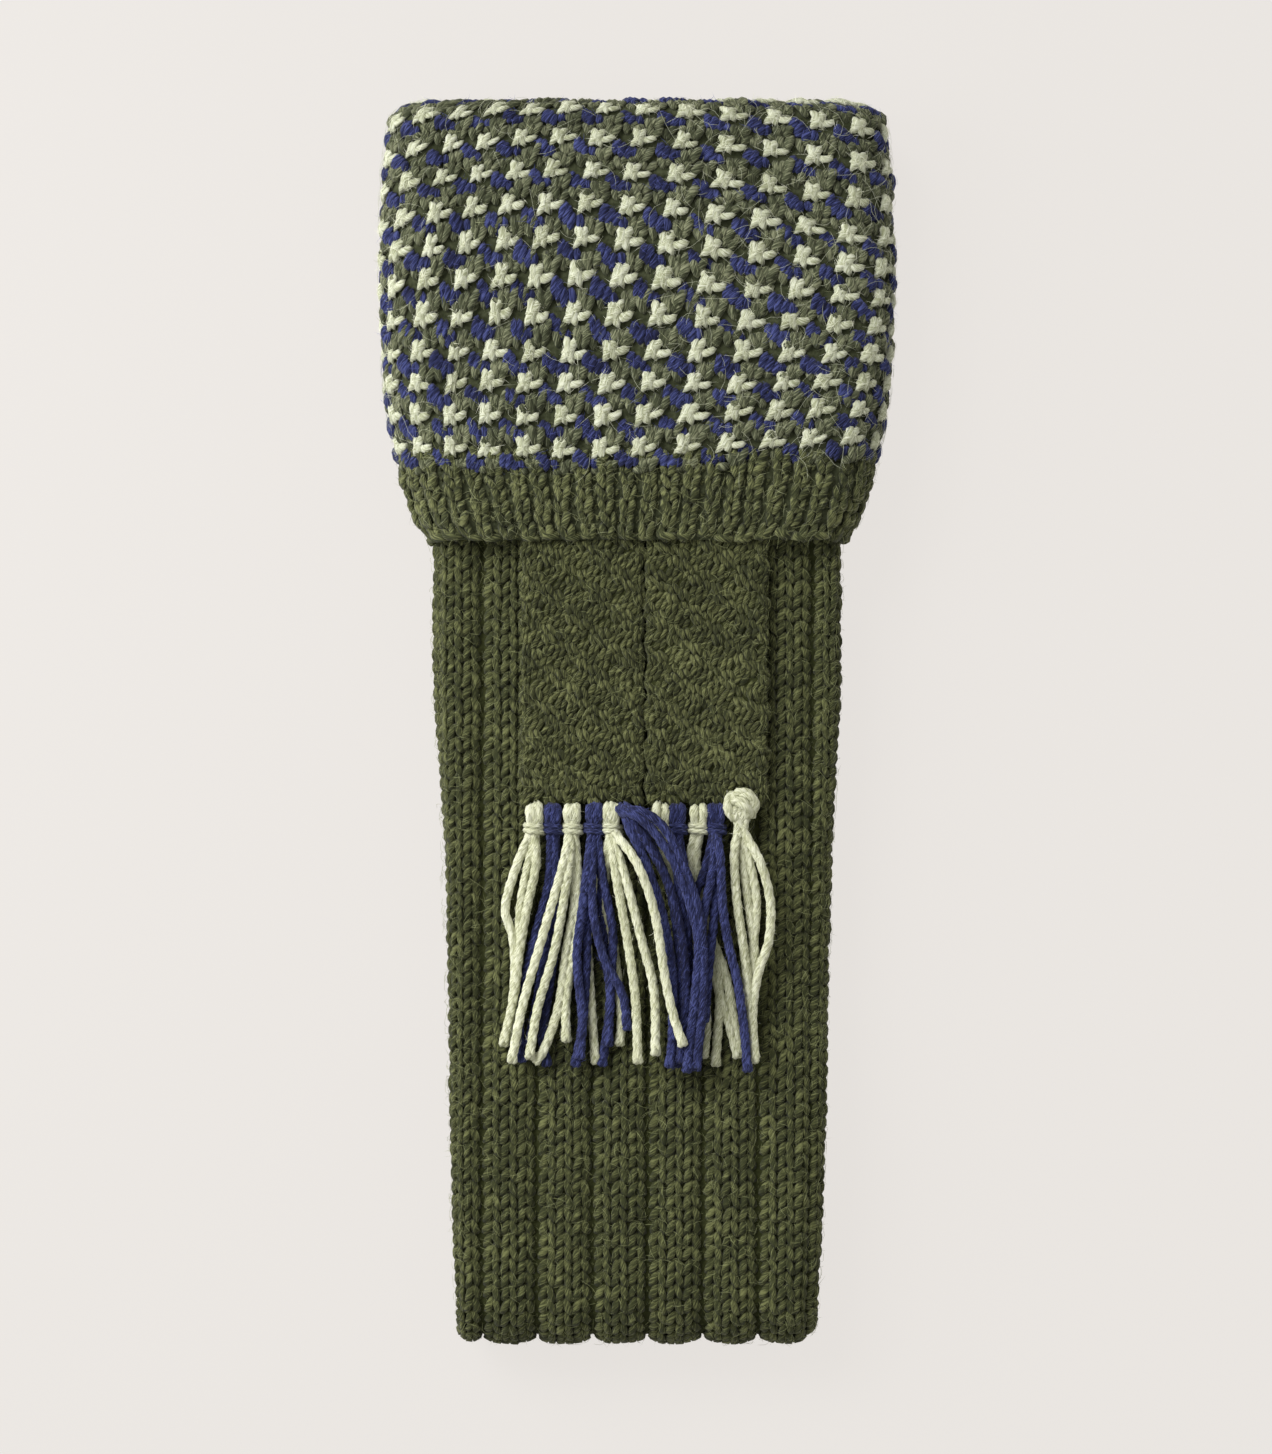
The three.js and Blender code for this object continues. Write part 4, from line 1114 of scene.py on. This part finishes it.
fuzz = {"thick": 0.065, "upward": 0.0, "tilt": 0.25, "small": 0.6, "large": 1.5}
fuzzShapes = [
    [(-1.6, 0.0, -0.1), (-0.6, 0.25, 0.35), (0.6, 0.2, 0.5), (1.7, -0.3, 0.35)],
    [(-1.3, 0.0, -0.1), (-0.5, -0.2, 0.3), (0.4, 0.0, 0.55), (1.4, 0.5, 0.8)],
    [(-1.9, 0.1, -0.1), (-0.7, 0.5, 0.3), (0.6, 0.5, 0.45), (1.9, -0.2, 0.2)],
    [(-1.1, 0.0, -0.1), (-0.4, 0.1, 0.25), (0.4, 0.2, 0.3), (1.1, 0.4, 0.1)],
]


def fuzzTree():
    tree, given = newGroup("growFuzz", {
        "Geometry": "Geometry", "Piece": "Object", "Hairs": "Collection", "Density": "Float", "Size": "Float",
        "Seed": "Int", "Yarn": "Material"})
    piece = addNode(tree, "GeometryNodeObjectInfo", {0: given["Piece"]})
    facing = addNode(tree, "ShaderNodeSeparateXYZ", {0: addNode(tree, "GeometryNodeInputNormal").outputs[0]})
    scatter = addNode(tree, "GeometryNodeDistributePointsOnFaces", {
        "Mesh": piece.outputs["Geometry"], "Density": given["Density"], "Seed": given["Seed"],
        "Selection": mathNode(tree, "GREATER_THAN", facing.outputs[2], fuzz["upward"])})
    tilt = fuzz["tilt"]
    spin = randomVector(tree, (-tilt, -tilt, 0), (tilt, tilt, 2 * math.pi), given["Seed"])
    turn = addNode(tree, "FunctionNodeRotateRotation", {0: scatter.outputs["Rotation"], 1: spin},
                   rotation_space="LOCAL")
    kind = randomNumber(tree, 0.0, 1.0, mathNode(tree, "ADD", given["Seed"], 1.0))
    size = mathNode(tree, "MULTIPLY", randomNumber(tree, fuzz["small"], fuzz["large"], given["Seed"]),
                    given["Size"])
    laid = layFrom(tree, given["Hairs"], scatter.outputs["Points"], {
        "Instance Index": mathNode(tree, "MULTIPLY", kind, float(len(fuzzShapes))),
        "Rotation": turn.outputs[0], "Scale": mathNode(tree, "MULTIPLY", size, mm)})
    real = addNode(tree, "GeometryNodeRealizeInstances", {0: laid})
    return endGroup(tree, real.outputs[0], given["Yarn"])


growFuzz = fuzzTree()

# For each piece that is grown with fibres: its colour, and the fibres on each square millimetre of yarn
fuzzy = {"legKnit": ("olive", 0.27), "ankleKnit": ("olive", 0.20), "cuffCream": ("cream", 0.50),
         "cuffNavy": ("navy", 0.20), "cuffOlive": ("tweed", 0.15), "weltKnit": ("tweed", 0.24),
         "leftEndKnit": ("olive", 0.26), "rightEndKnit": ("olive", 0.26)}


def fuzzPiece(source, hairs, density, colour, dyed, seed, size=1.0):
    name = source.replace("cuff", "").replace("Knit", "").replace("Yarn", "")
    name = name[0].lower() + name[1:] + "Fuzz"
    growPiece(name, bpy.data.meshes.new(name + "Start"), growFuzz, {
        "Piece": bpy.data.objects[source], "Hairs": hairs, "Density": density / mm ** 2, "Size": size,
        "Seed": seed, "Yarn": dyed[colour]})


def makeFuzz(dyed):
    hairs = bpy.data.collections.new("fuzzHairs")
    wide = (fuzz["thick"], fuzz["thick"])
    for number, shape in enumerate(fuzzShapes):
        hairs.objects.link(stitchObject(f"fuzz{number}", [{"path": shape, "wide": wide, "tall": wide}], 1, 3))
    for seed, (source, (colour, density)) in enumerate(fuzzy.items(), 61):
        fuzzPiece(source, hairs, density, colour, dyed, seed)
    for index, (colour, _, _) in enumerate(tassels):
        fuzzPiece(f"tassel_{index + 1:02d}Yarn", hairs, 0.10, colour, dyed, 71 + index, 0.8)


# long loose hairs that stand a little off the cloth

hair = {"thick": 0.065, "curl": 1.6}


def hairPiece(name, place, spots, length, lift, material, slot, seed):
    rng = random.Random(seed)
    strands = []
    for a, b in spots:
        angle = rng.uniform(0, 2 * math.pi)
        bend = rng.uniform(-hair["curl"], hair["curl"])
        reach = rng.uniform(*length)
        rise = rng.uniform(*lift)
        path = []
        for t in (0.0, 0.2, 0.45, 0.7, 0.9, 1.0):
            path.append(place(a, b, 1.2 - (1.2 + rise) * min(1, 1.9 * math.sin(math.pi * min(t, 0.62)))))
            a += reach * 0.2 * math.cos(angle)
            b += reach * 0.2 * math.sin(angle)
            angle += bend * 0.35
        strands.append({"path": np.array(path) / mm, "ply": hair["thick"]})
    addPiece(name, yarnMesh(name, strands, 3), material, slot)
    print(f"{name}: {len(strands)} hairs")


def hairMaterial(name, colour):
    material, _, shader = newMaterial(name)
    shader.inputs["Base Color"].default_value = (*colour, 1)
    shader.inputs["Roughness"].default_value = 0.8
    shader.inputs["Specular IOR Level"].default_value = 0.2
    return material


def makeHairs(greenHair, paleHair):
    rng = random.Random(4)
    quarter = cuff["halfGirth"] / 2

    def onCuff(a, b, depth):
        return cuffPoint(b, a / cuff["halfGirth"], depth)

    def onLeg(a, b, depth):
        return sectionPoint(tubeSection(b), a, depth)

    def scattered(count, low, high, first, last, sides=(1,)):
        return [(side * rng.uniform(low, high), rng.uniform(first, last)) for side in sides
                for _ in range(count)]

    spots = scattered(190, -quarter, quarter, 22, 112) + scattered(160, 10, quarter, 22, 108)
    spots += scattered(110, 63, 80, 18, 110, (-1, 1))
    hairPiece("cuffHairs", onCuff, spots, (4, 13), (0.2, 0.9), paleHair, "cream_wool", 51)
    spots = scattered(120, -quarter, quarter, 0, 22)
    hairPiece("weltHairs", onCuff, spots, (3, 9), (0.0, 0.5), greenHair, "green_wool", 52)
    legEnd = straightLength + 22
    spots = scattered(200, -54, 54, 2, legEnd) + scattered(150, 45, 56, 2, legEnd, (-1, 1))
    hairPiece("legHairs", onLeg, spots, (2, 7), (-0.2, 0.4), greenHair, "green_wool", 53)


makeCamera()
makeLight()
makeFloor()
wools = {name: yarnMaterial(name + "Yarn", colours) for name, colours in yarns.items()}
# the olive cloth in the yarn's darker tones only, as painted shade between stitches and in the valleys
oliveCloth = clothMaterial("oliveCloth", yarns["olive"])
print("materials made")
makeTubeCloth(oliveCloth)
makeLegKnit(wools["olive"])
# the cuff's cloth and its olive stitches take the olive painted lighter, as painted light for the better-lit
# cuff
makeCuffCloth(clothMaterial("tweedCloth", yarns["tweed"]))
makeCuffKnit({"cream": wools["cream"], "navy": wools["navy"], "olive": wools["tweed"]})
# the welt's stitches use the olive painted lighter, as painted light
makeWeltKnit(wools["welt"])
makeGarterEnds(wools["garter"], oliveCloth)
print("knitting done")
makeFringe({"cream": wools["fringeCream"], "navy": wools["navy"]})
greenFibre = hairMaterial("greenFibre", (0.26, 0.28, 0.13))
# the cuff's and the welt's olive fibres are painted lighter too, as painted light
makeFuzz({"olive": greenFibre, "tweed": hairMaterial("tweedFibre", (0.34, 0.36, 0.20)),
          "cream": hairMaterial("creamFibre", (0.85, 0.86, 0.68)),
          "navy": hairMaterial("navyFibre", (0.085, 0.10, 0.33))})
makeHairs(greenFibre, hairMaterial("paleFibre", (0.50, 0.52, 0.38)))
print("fringe and fibres done")

for name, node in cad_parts.items():
    cadYarn = oliveCloth
    if name.startswith("tassel"):
        cadYarn = wools["cream" if int(name[-2:]) % 2 else "navy"]
    node.data.materials.clear()
    node.data.materials.append(cadYarn)
